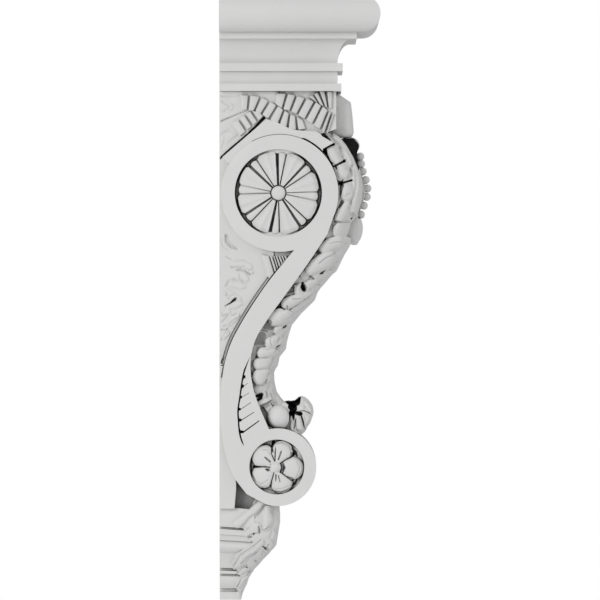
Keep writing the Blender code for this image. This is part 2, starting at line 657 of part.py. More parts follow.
def main():
    for thing in list(bpy.data.objects):
        bpy.data.objects.remove(thing)
    corbel = object_from("corbel_bracket", cap)
    for build in (panel_block, neck, scroll, back_fillet, base, on_both_sides(spandrel)):
        carve(corbel, "UNION", build)
    carve(corbel, "DIFFERENCE", on_both_sides(pockets))
    for build in (front_leaf, upper_leaf, pearl_fillet, pearls, tongue, hood, curl, base_leaf, hubs,
                  on_both_sides(curl_lobe)):
        carve(corbel, "UNION", build)
    carve(corbel, "DIFFERENCE", on_both_sides(curl_hollow))
    for band in (BAND_LONG, BAND_FRONT, BAND_BACK, BAND_FAN, RIDGE_UNDER_RING, BAND_UNDER_RING):
        carve(corbel, "UNION", on_both_sides(pleated_band, band))
    carve(corbel, "DIFFERENCE", on_both_sides(web_cuts))
    carve(corbel, "DIFFERENCE", behind_wall)
    corbel.data.materials.append(primed_white())


main()
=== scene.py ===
import math

import bpy
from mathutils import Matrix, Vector
from mathutils.geometry import interpolate_bezier


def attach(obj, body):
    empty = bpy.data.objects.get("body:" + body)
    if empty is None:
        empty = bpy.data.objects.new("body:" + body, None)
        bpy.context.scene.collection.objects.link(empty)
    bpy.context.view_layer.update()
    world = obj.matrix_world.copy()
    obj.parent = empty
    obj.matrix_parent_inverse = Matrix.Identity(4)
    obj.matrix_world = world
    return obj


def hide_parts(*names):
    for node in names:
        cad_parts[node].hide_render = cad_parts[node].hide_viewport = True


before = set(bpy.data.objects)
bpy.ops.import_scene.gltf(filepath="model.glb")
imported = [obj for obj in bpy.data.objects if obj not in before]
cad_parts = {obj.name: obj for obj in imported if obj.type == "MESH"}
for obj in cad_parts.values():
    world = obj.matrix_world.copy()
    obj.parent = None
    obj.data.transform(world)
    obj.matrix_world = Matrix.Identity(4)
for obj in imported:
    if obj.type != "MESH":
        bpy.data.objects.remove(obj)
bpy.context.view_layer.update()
mm = 0.001                                            # the drawing is in millimetres
print("frame loaded")


# drawing helpers: a place is (x across, out from the wall, up from the middle of the back)

def spot(x, out, up):
    return Vector((x, -out, up)) * mm


def mix(start, end, share):
    if isinstance(start, (tuple, list)):
        return tuple(a + (b - a) * share for a, b in zip(start, end))
    return start + (end - start) * share


def ease(share):                                      # 0 to 1 with soft ends
    share = max(0.0, min(1.0, share))
    return share * share * (3 - 2 * share)


def arc(centre, radius, startDegrees, endDegrees, steps):
    points = []
    for i in range(steps + 1):
        turn = math.radians(mix(startDegrees, endDegrees, i / steps))
        points.append((centre[0] + radius * math.cos(turn), centre[1] + radius * math.sin(turn)))
    return points


def smoothLine(points, perSpan):
    stops = [Vector((*point, 0)) for point in points]
    line = []
    for i in range(len(stops) - 1):
        before, start, end = stops[max(i - 1, 0)], stops[i], stops[i + 1]
        after = stops[min(i + 2, len(stops) - 1)]
        line += interpolate_bezier(start, start + (end - before) / 6, end - (after - start) / 6, end,
                                   perSpan + 1)[:-1]
    return [(point.x, point.y) for point in line + [stops[-1]]]


def offsetLine(line, distance):                       # positive is away from the wall on a line that runs down
    moved = []
    for i, (out, up) in enumerate(line):
        ahead, behind = line[min(i + 1, len(line) - 1)], line[max(i - 1, 0)]
        run = Vector((ahead[0] - behind[0], ahead[1] - behind[1])).normalized()
        moved.append((out - run.y * distance, up + run.x * distance))
    return moved


class Track:                                          # a line that is read by the share of its length
    def __init__(self, line):
        self.line = line
        self.ends = [0.0]
        for a, b in zip(line, line[1:]):
            self.ends.append(self.ends[-1] + math.dist(a, b))

    def at(self, share):
        goal = max(0.0, min(1.0, share)) * self.ends[-1]
        low, high = 0, len(self.ends) - 1
        while high - low > 1:
            middle = (low + high) // 2
            if self.ends[middle] <= goal:
                low = middle
            else:
                high = middle
        part = (goal - self.ends[low]) / (self.ends[high] - self.ends[low])
        return mix(self.line[low], self.line[high], part)


# carving: lobes that stand up from a floor, creases cut into them, all drawn on the side of the corbel

def toSegment(start, end, out, up):                   # (share along it, distance from it, side of it)
    dx, dy = end[0] - start[0], end[1] - start[1]
    share = max(0.0, min(1.0, ((out - start[0]) * dx + (up - start[1]) * dy) / (dx * dx + dy * dy)))
    gap = math.hypot(out - start[0] - dx * share, up - start[1] - dy * share)
    return share, gap, dx * (up - start[1]) - dy * (out - start[0])


def nearest(points, out, up):                         # (distance beyond the stroke's edge, share of its radius)
    best = (1e9, 1e9)
    if len(points) == 1:
        gap = math.hypot(out - points[0][0], up - points[0][1])
        return gap - points[0][2], gap / points[0][2]
    for start, end in zip(points, points[1:]):
        share, gap, side = toSegment(start, end, out, up)
        radius = start[2] + (end[2] - start[2]) * share
        if gap - radius < best[0]:
            best = (gap - radius, gap / radius)
    return best


def beyond(line, out, up):                            # distance on the wall's side of a line that runs down
    best, bestSide = 1e9, 0
    for start, end in zip(line, line[1:]):
        share, gap, side = toSegment(start, end, out, up)
        if gap < best:
            best, bestSide = gap, side
    return best if bestSide < 0 else -best


def readOff(stops, place, softness=0.0):              # the value at a place between stops that run down
    for (high, above), (low, below) in zip(stops, stops[1:]):
        if low <= place <= high:
            share = (high - place) / (high - low)
            return mix(above, below, mix(share, ease(share), softness))
    return stops[0][1] if place > stops[0][0] else stops[-1][1]


def reach(points):                                    # the box of a stroke, for a quick test
    widest = max(point[2] for point in points) + 8
    outs, ups = [point[0] for point in points], [point[1] for point in points]
    return min(outs) - widest, max(outs) + widest, min(ups) - widest, max(ups) + widest


# a lobe is (top, bulge, line) and perhaps its own slope, a cut is (depth, line), and a line's points are
# (out, up, radius); the body is (top, line) and fills all that lies away from the wall
cutWall = 0.7                                         # how far in from its edge a cut is at its full depth


def carver(carving):                                  # gives a function (out, up) -> height above the surface
    slope, grow = carving.get("slope", 5.0), carving.get("grow", 0.0)
    lobes = [(top, bulge, line, own[0] if own else slope, reach(line))
             for top, bulge, line, *own in carving.get("lobes", [])]
    cuts = [(depth, line, kind == "softCuts", reach(line))
            for kind in ("cuts", "softCuts") for depth, line in carving.get(kind, [])]

    def height(out, up):
        level = carving.get("floor", 0.0)
        if "body" in carving:
            top, line = carving["body"]
            level = max(level, top - slope * max(0.0, beyond(line, out, up) - grow))
        for top, bulge, line, fall, (west, east, south, north) in lobes:
            if west < out < east and south < up < north:
                edge, share = nearest(line, out, up)
                rise = bulge * math.sqrt(1 - share * share) if share < 1 else -fall * max(0.0, edge - grow)
                level = max(level, top + rise)
        for depth, line, soft, (west, east, south, north) in cuts:
            if west < out < east and south < up < north:
                edge, share = nearest(line, out, up)
                if edge < 0:
                    level -= depth * ((1 - share * share) ** 2 if soft else min(1.0, -edge / cutWall))
        return level

    return height


# modelling helpers

def nothingSelected():
    if bpy.context.mode != "OBJECT":
        bpy.ops.object.mode_set(mode="OBJECT")
    bpy.ops.object.select_all(action="DESELECT")


def chosen(piece):
    nothingSelected()
    piece.select_set(True)
    bpy.context.view_layer.objects.active = piece


def applied(piece, kind, **values):
    chosen(piece)
    modifier = piece.modifiers.new(kind.lower(), kind)
    for name, value in values.items():
        setattr(modifier, name, value)
    bpy.ops.object.modifier_apply(modifier=modifier.name)


def edited(piece):
    chosen(piece)
    bpy.ops.object.mode_set(mode="EDIT")
    bpy.ops.mesh.select_all(action="SELECT")


def bothSides(piece):
    applied(piece, "MIRROR", use_mirror_merge=True, merge_threshold=0.00002)


def bevelled(piece, width, degrees):                  # only the edges that turn more than this
    applied(piece, "BEVEL", width=width * mm, segments=2, limit_method="ANGLE",
            angle_limit=math.radians(degrees))


def normalsOut(piece):
    edited(piece)
    bpy.ops.mesh.normals_make_consistent(inside=False)
    bpy.ops.object.mode_set(mode="OBJECT")


def finished(piece, smoothDegrees=180):
    edited(piece)
    bpy.ops.mesh.remove_doubles(threshold=0.000005)
    bpy.ops.mesh.normals_make_consistent(inside=False)
    bpy.ops.object.mode_set(mode="OBJECT")
    bpy.ops.object.shade_smooth_by_angle(angle=math.radians(smoothDegrees))
    piece.data.materials.clear()
    piece.data.materials.append(primedWood)
    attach(piece, "root")
    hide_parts("corbel_bracket")


def plate(name, outline, inner, outer, holes=(), bevel=0.8, mirrored=True):   # a flat board sawn to an outline
    nothingSelected()
    bpy.ops.mesh.primitive_circle_add(vertices=len(outline), radius=mm)
    piece = bpy.context.object
    piece.name = name
    for vertex, (out, up) in zip(piece.data.vertices, outline):
        vertex.co = spot(inner, out, up)
    for hole in holes:
        bpy.ops.object.mode_set(mode="EDIT")
        bpy.ops.mesh.primitive_circle_add(vertices=len(hole), radius=mm)
        bpy.ops.object.mode_set(mode="OBJECT")
        for vertex, (out, up) in zip(list(piece.data.vertices)[-len(hole):], hole):
            vertex.co = spot(inner, out, up)
    edited(piece)
    bpy.ops.mesh.fill(use_beauty=True)
    bpy.ops.mesh.select_all(action="SELECT")
    bpy.ops.mesh.extrude_region_move(TRANSFORM_OT_translate={"value": ((outer - inner) * mm, 0, 0)})
    bpy.ops.mesh.select_all(action="SELECT")
    bpy.ops.mesh.normals_make_consistent(inside=False)
    bpy.ops.object.mode_set(mode="OBJECT")
    if bevel:
        bevelled(piece, bevel, 50)
    if mirrored:
        bothSides(piece)
    finished(piece, 20)


def throughPlate(name, outline, halfWidth):           # one board from side to side, its edges left sharp
    plate(name, outline, -halfWidth, halfWidth, bevel=0, mirrored=False)


def carvedSheet(name, rows, columns, place, closeEnds=True, paintedShade=()):
    nothingSelected()                                 # place(along, across) gives the point of each vertex
    bpy.ops.mesh.primitive_grid_add(x_subdivisions=columns, y_subdivisions=rows, size=1)
    piece = bpy.context.object
    piece.name = name
    for vertex in piece.data.vertices:
        vertex.co = spot(*place(vertex.co.y + 0.5, vertex.co.x + 0.5))
    if paintedShade:                                          # (how dark, line) for each recess that gets painted shade
        # painted shade: the hollow attribute darkens the primer there to near black
        hollow = piece.data.attributes.new("hollow", "FLOAT", "POINT")
        for vertex, mark in zip(piece.data.vertices, hollow.data):
            out, up = -vertex.co.y / mm, vertex.co.z / mm
            mark.value = max(level * ease(-nearest(line, out, up)[0] / 0.8) for level, line in paintedShade)
    edited(piece)
    bpy.ops.mesh.remove_doubles(threshold=0.000002)
    bpy.ops.object.mode_set(mode="OBJECT")
    bothSides(piece)
    if closeEnds:
        edited(piece)
        bpy.ops.mesh.select_all(action="DESELECT")
        bpy.ops.mesh.select_mode(type="VERT")
        bpy.ops.mesh.select_non_manifold()
        bpy.ops.mesh.fill_holes(sides=0)
        bpy.ops.mesh.select_all(action="SELECT")
        bpy.ops.mesh.quads_convert_to_tris(quad_method="BEAUTY", ngon_method="BEAUTY")
        bpy.ops.object.mode_set(mode="OBJECT")
    finished(piece)


# material: matt white primer over carved wood

class Wire:                                           # a node's output, with arithmetic
    def __init__(self, tree, socket):
        self.tree, self.socket = tree, socket

    def sum(self, operation, first, second):
        return shaderNode(self.tree, "ShaderNodeMath", {"operation": operation}, {0: first, 1: second})

    def __add__(self, other):
        return self.sum("ADD", self, other)

    def __radd__(self, other):
        return self.sum("ADD", other, self)

    def __sub__(self, other):
        return self.sum("SUBTRACT", self, other)

    def __rsub__(self, other):
        return self.sum("SUBTRACT", other, self)

    def __mul__(self, other):
        return self.sum("MULTIPLY", self, other)

    def __rmul__(self, other):
        return self.sum("MULTIPLY", other, self)


def shaderNode(tree, kind, settings=None, inputs=None, output=0):
    node = tree.nodes.new(kind)
    for name, value in (settings or {}).items():
        if name == "stops":
            ramp = node.color_ramp
            while len(ramp.elements) < len(value):
                ramp.elements.new(0.5)
            for element, (position, colour) in zip(ramp.elements, value):
                element.position, element.color = position, (*colour, 1)
        else:
            setattr(node, name, value)
    for name, value in (inputs or {}).items():
        if isinstance(value, Wire):
            tree.links.new(value.socket, node.inputs[name])
        else:
            node.inputs[name].default_value = value
    return Wire(tree, node.outputs[output])


primer = {
    "colour": (0.8, 0.8, 0.795),
    "thin": (0.83, 0.825, 0.81),                      # sanded thin along the edges
    "paintedShadeGrey": (0.7, 0.7, 0.69),                        # painted shade in the hollows, grey
    # painted shade: near black in deep narrow recesses, with the occlusion reach and range that place it
    "paintedShadeBlack": (0.012, 0.012, 0.012), "creviceReach": 0.008, "creviceFrom": 0.13, "creviceTo": 0.43,
    "deepReach": 0.03, "deepFrom": 0.1, "deepTo": 0.36, "roughness": 0.62, "bumpDistance": 0.0004,
    "edgeReach": 0.0025,
    "thickness": [(0.3, (0.965, 0.965, 0.965)), (0.7, (1, 1, 1))],
}


def primedWoodMaterial():
    material = bpy.data.materials.new("primed wood")
    material.use_nodes = True
    tree = material.node_tree
    shader = tree.nodes["Principled BSDF"]
    shader.inputs["Metallic"].default_value = 0.0
    shader.inputs["IOR"].default_value = 1.45

    def noise(place, scale, detail):
        return shaderNode(tree, "ShaderNodeTexNoise",
                          inputs={"Vector": place, "Scale": scale, "Detail": detail})

    def openness(distance, samples=8, inside=False):  # 1 in the open, 0 deep inside a recess
        return shaderNode(tree, "ShaderNodeAmbientOcclusion", {"samples": samples, "inside": inside},
                          {"Distance": distance}, "AO")

    def between(value, low, high, kind="LINEAR"):
        return shaderNode(tree, "ShaderNodeMapRange", {"interpolation_type": kind},
                          {"Value": value, "From Min": low, "From Max": high})

    def blend(share, first, second, kind="MIX"):
        return shaderNode(tree, "ShaderNodeMix", {"data_type": "RGBA", "blend_type": kind},
                          {0: share, 6: first, 7: second}, 2)

    place = shaderNode(tree, "ShaderNodeTexCoord", output="Object")
    strokes = shaderNode(tree, "ShaderNodeMapping", inputs={"Vector": place, "Scale": (60, 60, 9)})
    blotches, brushing, stipple = noise(place, 14, 3), noise(strokes, 9, 4), noise(place, 900, 2)
    # painted shade: ambient occlusion turns the primer grey in hollows and near black in narrow deep recesses
    crevices = openness(primer["creviceReach"])
    shade = between(crevices, primer["creviceFrom"], primer["creviceTo"], "SMOOTHSTEP")
    deep = between(openness(primer["deepReach"]), primer["deepFrom"], primer["deepTo"], "SMOOTHSTEP")
    # painted shade drawn onto chosen recesses through the hollow attribute
    paintedShadeMark = shaderNode(tree, "ShaderNodeAttribute", {"attribute_name": "hollow"}, output="Fac")
    outOfPaintedShade = between(crevices + blotches * 0.12, 0.62, 1.02)
    worn = between(openness(primer["edgeReach"], 6, True) + brushing * 0.2, 0.75, 0.45)
    thickness = shaderNode(tree, "ShaderNodeValToRGB", {"stops": primer["thickness"]}, {"Fac": blotches})
    colour = blend(outOfPaintedShade, (*primer["paintedShadeGrey"], 1), (*primer["colour"], 1))
    colour = blend(worn * 0.8, colour, (*primer["thin"], 1))
    colour = blend(1.0, colour, thickness, "MULTIPLY")
    colour = blend(shade * (0.25 + deep * 0.75) * (1 - paintedShadeMark), (*primer["paintedShadeBlack"], 1), colour)
    tree.links.new(colour.socket, shader.inputs["Base Color"])
    roughness = primer["roughness"] + (blotches - 0.5) * 0.12 - worn * 0.06
    tree.links.new(roughness.socket, shader.inputs["Roughness"])
    bump = shaderNode(tree, "ShaderNodeBump", inputs={"Strength": 0.25, "Distance": primer["bumpDistance"],
                                                      "Height": stipple * 0.5 + brushing * 0.6})
    tree.links.new(bump.socket, shader.inputs["Normal"])
    return material


primedWood = primedWoodMaterial()
print("material made")


# camera, light and floor

studioSet = {
    "ambient": 0.39,
    "camera": (-7.466, -0.0887, 0.0015), "lens": 36 * 7.4 / 0.66, "sensor": 36,
    "lights": {                                       # (place, size, watts)
        "side_light": ((-2.7, 1.5, 0.6), 1.3, 38),
        "far_side_light": ((2.7, 1.5, 0.6), 1.3, 38),
        "front_light": ((-0.9, -2.9, 1.5), 1.6, 19),
        "top_light": ((0, -0.4, 2.8), 1.8, 5),
    },
    "floorRadius": 1.4, "floorLevel": -0.45, "floorGrey": 0.8,
}


def studio():
    nothingSelected()
    bpy.ops.object.camera_add(location=studioSet["camera"], rotation=(math.pi / 2, 0, -math.pi / 2))
    camera = bpy.context.object
    camera.name = "camera"
    camera.data.sensor_width = studioSet["sensor"]
    camera.data.lens = studioSet["lens"]
    bpy.context.scene.camera = camera
    for name, (place, size, energy) in studioSet["lights"].items():
        bpy.ops.object.light_add(type="AREA", location=place)
        light = bpy.context.object
        light.name = name
        light.data.size = size
        light.data.energy = energy
        light.rotation_euler = (Vector((0, -0.08, 0)) - Vector(place)).to_track_quat("-Z", "Y").to_euler()
    world = bpy.data.worlds.new("studio")
    bpy.context.scene.world = world
    world.use_nodes = True
    tree = world.node_tree
    sky = tree.nodes["Background"]
    sky.inputs["Color"].default_value = (1, 1, 1, 1)
    seen = shaderNode(tree, "ShaderNodeLightPath", output="Is Camera Ray")
    strength = seen * (1.0 - studioSet["ambient"]) + studioSet["ambient"]     # white behind, softer on the part
    tree.links.new(strength.socket, sky.inputs["Strength"])
    bpy.context.scene.view_settings.view_transform = "Standard"
    nothingSelected()
    bpy.ops.mesh.primitive_circle_add(vertices=96, radius=studioSet["floorRadius"], fill_type="NGON",
                                      location=(0, 0, studioSet["floorLevel"]))
    floor = bpy.context.object
    floor.name = "floor"
    bpy.ops.object.transform_apply(location=True)
    pale = bpy.data.materials.new("pale floor")
    pale.use_nodes = True
    finish = pale.node_tree.nodes["Principled BSDF"].inputs
    finish["Base Color"].default_value = (*[studioSet["floorGrey"]] * 3, 1)
    finish["Roughness"].default_value = 0.7
    floor.data.materials.append(pale)


studio()
print("studio set")


# cap: a rectangle drawn down through the profile, step by step

cap = {
    "top": 330, "neckHalfWidth": 68, "neckOut": 130, "rollRadius": 19.76, "rollProjection": 27,
    "rollBelowTop": 15,
    "fillet": (21, 7),                                # (projection, height)
    "cove": (15, 26.5), "neckBand": (5.7, 8.6), "frieze": 13.7, "astragal": (4.2, 8.1), "underside": 6,
    "setBack": 9,
}


def capProfile():
    centre = (cap["rollProjection"], cap["top"] - cap["rollBelowTop"])
    top = math.degrees(math.asin(cap["rollBelowTop"] / cap["rollRadius"]))
    profile = arc(centre, cap["rollRadius"], top, -90, 22)
    level = centre[1] - cap["rollRadius"]
    projection, height = cap["fillet"]
    profile += [(projection, level), (projection, level - height)]
    level -= height
    width, height = cap["cove"]
    for i in range(17):
        turn = math.radians(90 * i / 16)
        profile.append((width * (1 - math.sin(turn)) + 0.001, level - height * (1 - math.cos(turn))))
    level -= height
    for projection, height in (cap["neckBand"], (0, cap["frieze"]), cap["astragal"]):
        profile += [(projection, level), (projection, level - height)]
        level -= height
    return profile + [(-cap["setBack"], level), (-cap["setBack"], level - cap["underside"])]


def steppedBlock(name, profile, halfWidth, out, bevel, frontShare=1.0):
    nothingSelected()                                 # each step: pull the end down, then size it from the wall
    setIn, level = profile[0]
    wide, deep = halfWidth + setIn, out + setIn * frontShare
    bpy.ops.mesh.primitive_plane_add(size=mm, location=(0, -deep / 2 * mm, level * mm))
    piece = bpy.context.object
    piece.name = name
    piece.scale = (2 * wide, deep, 1)
    bpy.ops.object.transform_apply(location=True, rotation=True, scale=True)
    edited(piece)
    for setIn, nextLevel in profile[1:]:
        nextWide, nextDeep = halfWidth + setIn, out + setIn * frontShare
        bpy.ops.mesh.extrude_region_move(TRANSFORM_OT_translate={"value": (0, 0, (nextLevel - level) * mm)})
        bpy.ops.transform.resize(value=(nextWide / wide, nextDeep / deep, 1),
                                 center_override=(0, 0, nextLevel * mm))
        wide, deep, level = nextWide, nextDeep, nextLevel
    bpy.ops.mesh.select_all(action="SELECT")
    bpy.ops.mesh.remove_doubles(threshold=0.000002)
    bpy.ops.mesh.normals_make_consistent(inside=False)
    bpy.ops.object.mode_set(mode="OBJECT")
    bevelled(piece, bevel, 40)
    return piece


finished(steppedBlock("cap_moulding", capProfile(), cap["neckHalfWidth"], cap["neckOut"], 0.6), 21)
print("cap made")


# scroll: its two faces with round holes for the rosettes, and the core between them

scroll = {
    "halfWidth": 66, "faceThickness": 16, "coreHalfWidth": 53, "upperCentre": (66.5, 119),
    "upperRadius": 64.5, "lowerCentre": (63.9, -182.5), "lowerRadius": 42.7, "upperRosette": (64.9, 119.3),
    "upperRosetteRadius": 48, "lowerRosette": (63.2, -182.2), "lowerRosetteRadius": 30.2,
    "front": [(119, 74), (98, 42.5), (75.5, 11), (53, -20), (39, -44), (34.2, -70), (37.6, -97), (46, -121),
        (57, -144)],
    "back": [(56, 24.3), (39, 0), (25, -22.5), (12.5, -46.5), (5, -72), (2.2, -100), (1.8, -132),
        (5.7, -163), (15, -191), (30, -212)],
    "groove": [(34.1, -60.6), (30.2, -71), (26.8, -83), (23.2, -107), (21.4, -120), (21.9, -131),
        (23.2, -145), (27.2, -159)],
    "grooveWidth": 1.7,
    # on the groove: (middle, width, height, end of the thin cut, its width)
    "webPits": [((27.8, -83), 1.9, 3.8, None, 0), ((26.1, -93.2), 1.6, 3.8, (31, -90.1), 0.5),
        ((24.5, -105.2), 0.6, 3.6, (32.7, -100.6), 0.5), ((23.2, -118.6), 0.8, 3, (34.5, -111.3), 0.7),
        ((23.8, -130.6), 1, 3.6, (38.1, -121.9), 0.9), ((26.1, -143.6), 1.2, 3.4, (43.7, -131.4), 1.7)],
}


def scrollOutline(inset=0.0):
    points = arc(scroll["upperCentre"], scroll["upperRadius"] - inset, -24, 284, 110)
    points += smoothLine([points[-1]] + scroll["back"], 8)[1:]
    points += arc(scroll["lowerCentre"], scroll["lowerRadius"] - inset, -108, 102.7, 64)
    points += list(reversed(smoothLine(scroll["front"], 8)[:-8]))
    return points


def circleAt(centre, radius, steps):
    return arc(centre, radius, 0, 360, steps)[:-1]


def grooveOutline():                                  # its outer edge steps out at each pit and thin cut
    line = smoothLine(scroll["groove"], 5)
    wallSide = []
    for i, point in enumerate(offsetLine(line, -scroll["grooveWidth"])):
        share = i / (len(line) - 1)
        wallSide.append(mix(line[i], point, min(1, 5 * share, 16 * (1 - share))))
    outer = []
    pits = list(scroll["webPits"])
    for point, after in zip(line, line[1:] + [(0, -1000)]):
        inPit = any(abs(point[1] - pit[0][1]) < pit[2] / 2 + 0.3 for pit in scroll["webPits"])
        if not inPit:
            outer.append(point)
        while pits and after[1] < pits[0][0][1] + pits[0][2] / 2 + 0.3:
            (out, up), width, height, cutEnd, cutWidth = pits.pop(0)
            edge = min(line, key=lambda place: abs(place[1] - up))[0]
            side = max(out + width / 2, edge + 0.6)
            outer += [(edge + 0.2, up + height / 2), (side, up + height / 2 - 0.3)]
            if cutEnd:
                (endOut, endUp), half = cutEnd, cutWidth / 2
                outer += [(side + 0.1, up + half), (endOut, endUp + half * 0.8),
                          (endOut + 0.3, endUp - half * 0.5), (side + 0.1, up - half)]
            outer += [(side, up - height / 2 + 0.3), (edge + 0.2, up - height / 2)]
    return outer + list(reversed(wallSide[1:-1]))


def scrollFaces():
    holes = [circleAt(scroll["upperRosette"], scroll["upperRosetteRadius"], 120),
             circleAt(scroll["lowerRosette"], scroll["lowerRosetteRadius"], 96), grooveOutline()]
    plate("scroll_faces", scrollOutline(), scroll["halfWidth"] - scroll["faceThickness"], scroll["halfWidth"],
          holes, bevel=0.9)
    throughPlate("scroll_core", scrollOutline(0.8), scroll["coreHalfWidth"])


scrollFaces()
print("scroll made")


# rosettes: a disc whose face is carved into petals, seated in the scroll's holes

upperRosette = {
    "floor": 54.5, "turn": -5, "pitch": 45, "slimHalfAngle": 6.8, "petalReach": 46, "slimReach": 44.6,
    "hub": 7.6, "sideGap": 1.1, "slimFace": 63.8, "petalFace": 65, "dish": 3.5, "hubFace": 62,
    "hubGroove": 58.5, "back": 50.5, "shadows": [(-62, 62), (128, 232)],
}


def upperRosetteHeight(radius, degrees):
    pitch, turned = upperRosette["pitch"], degrees - upperRosette["turn"]
    slot = (turned + pitch / 2) % pitch - pitch / 2                    # degrees from the slim petal's middle
    spoke = round(turned / pitch) * pitch + upperRosette["turn"]
    half = upperRosette["slimHalfAngle"]
    upright = abs(math.sin(math.radians(spoke)))
    width = 0.5 + (0.9 * upright if (slot > 0) == (math.sin(math.radians(spoke)) > 0) else 0)
    width *= mix(0.45, 1.15, radius / 45)
    lineGap = abs(radius * math.sin(math.radians(abs(slot) - half)))   # from the line between two petals
    if abs(slot) < half:
        edgeRadius = upperRosette["slimReach"] - 1.5 * (slot / half) ** 2
        level = upperRosette["slimFace"] + 1.0 - (slot / half) ** 2
    else:
        across = min(1, (abs(slot) - half) / (pitch / 2 - half))
        edgeRadius = upperRosette["petalReach"] - 2.4 * ease(1 - (abs(slot) - half) / 6)
        level = upperRosette["petalFace"] - 1.6 * math.sin(math.pi * across) * ease(radius / 40)
    edgeRadius -= upperRosette["sideGap"] * math.cos(math.radians(degrees)) ** 2
    level -= upperRosette["dish"] * ease(1 - radius / 20)
    level -= 1.2 * ease((radius - edgeRadius + 5) / 5)
    if lineGap < width + 0.4:
        depth = mix(2.2, 8.5, width / 1.4) * mix(0.4, 1.0, upright)
        level -= depth * min(1.0, (width + 0.4 - lineGap) / 0.7)
    if radius > edgeRadius:                           # the gap at the rim, shallow above and below
        steepness = abs(math.sin(math.radians(degrees)))
        floor = upperRosette["floor"] + 7.0 * ease((steepness - 0.75) / 0.25)
        level = max(floor, level - 9 * (radius - edgeRadius))
    hub = upperRosette["hub"]
    if radius < hub:
        return upperRosette["hubFace"] + 3.4 * math.sqrt(max(0.0, 1 - (radius / (hub + 0.2)) ** 2))
    return min(level, upperRosette["hubGroove"]) if radius < hub + 1.2 else level


def discSheet(name, centre, radius, height, rings, spokes, back, paintedShade):
    def place(along, across):
        share = across * (rings + 1) / rings
        if share > 1.0001:                            # the last ring closes the back
            return back, centre[0], centre[1]
        degrees, distance = 360 * along, radius * share
        turn = math.radians(degrees)
        out, up = centre[0] + distance * math.cos(turn), centre[1] + distance * math.sin(turn)
        return height(distance, degrees % 360, out, up), out, up

    carvedSheet(name, spokes, rings + 1, place, closeEnds=False, paintedShade=paintedShade)


def upperRosettes():
    # painted shadows: near-black arcs in the gap round the rim, left and right
    shadows = [(0.95, [(out, up, 1.3) for out, up in arc(scroll["upperRosette"], 47.4, start, end, 12)])
               for start, end in upperRosette["shadows"]]
    discSheet("upper_rosettes", scroll["upperRosette"], scroll["upperRosetteRadius"] + 0.6,
              lambda radius, degrees, out, up: upperRosetteHeight(radius, degrees), 84, 480,
              upperRosette["back"], shadows)


upperRosettes()

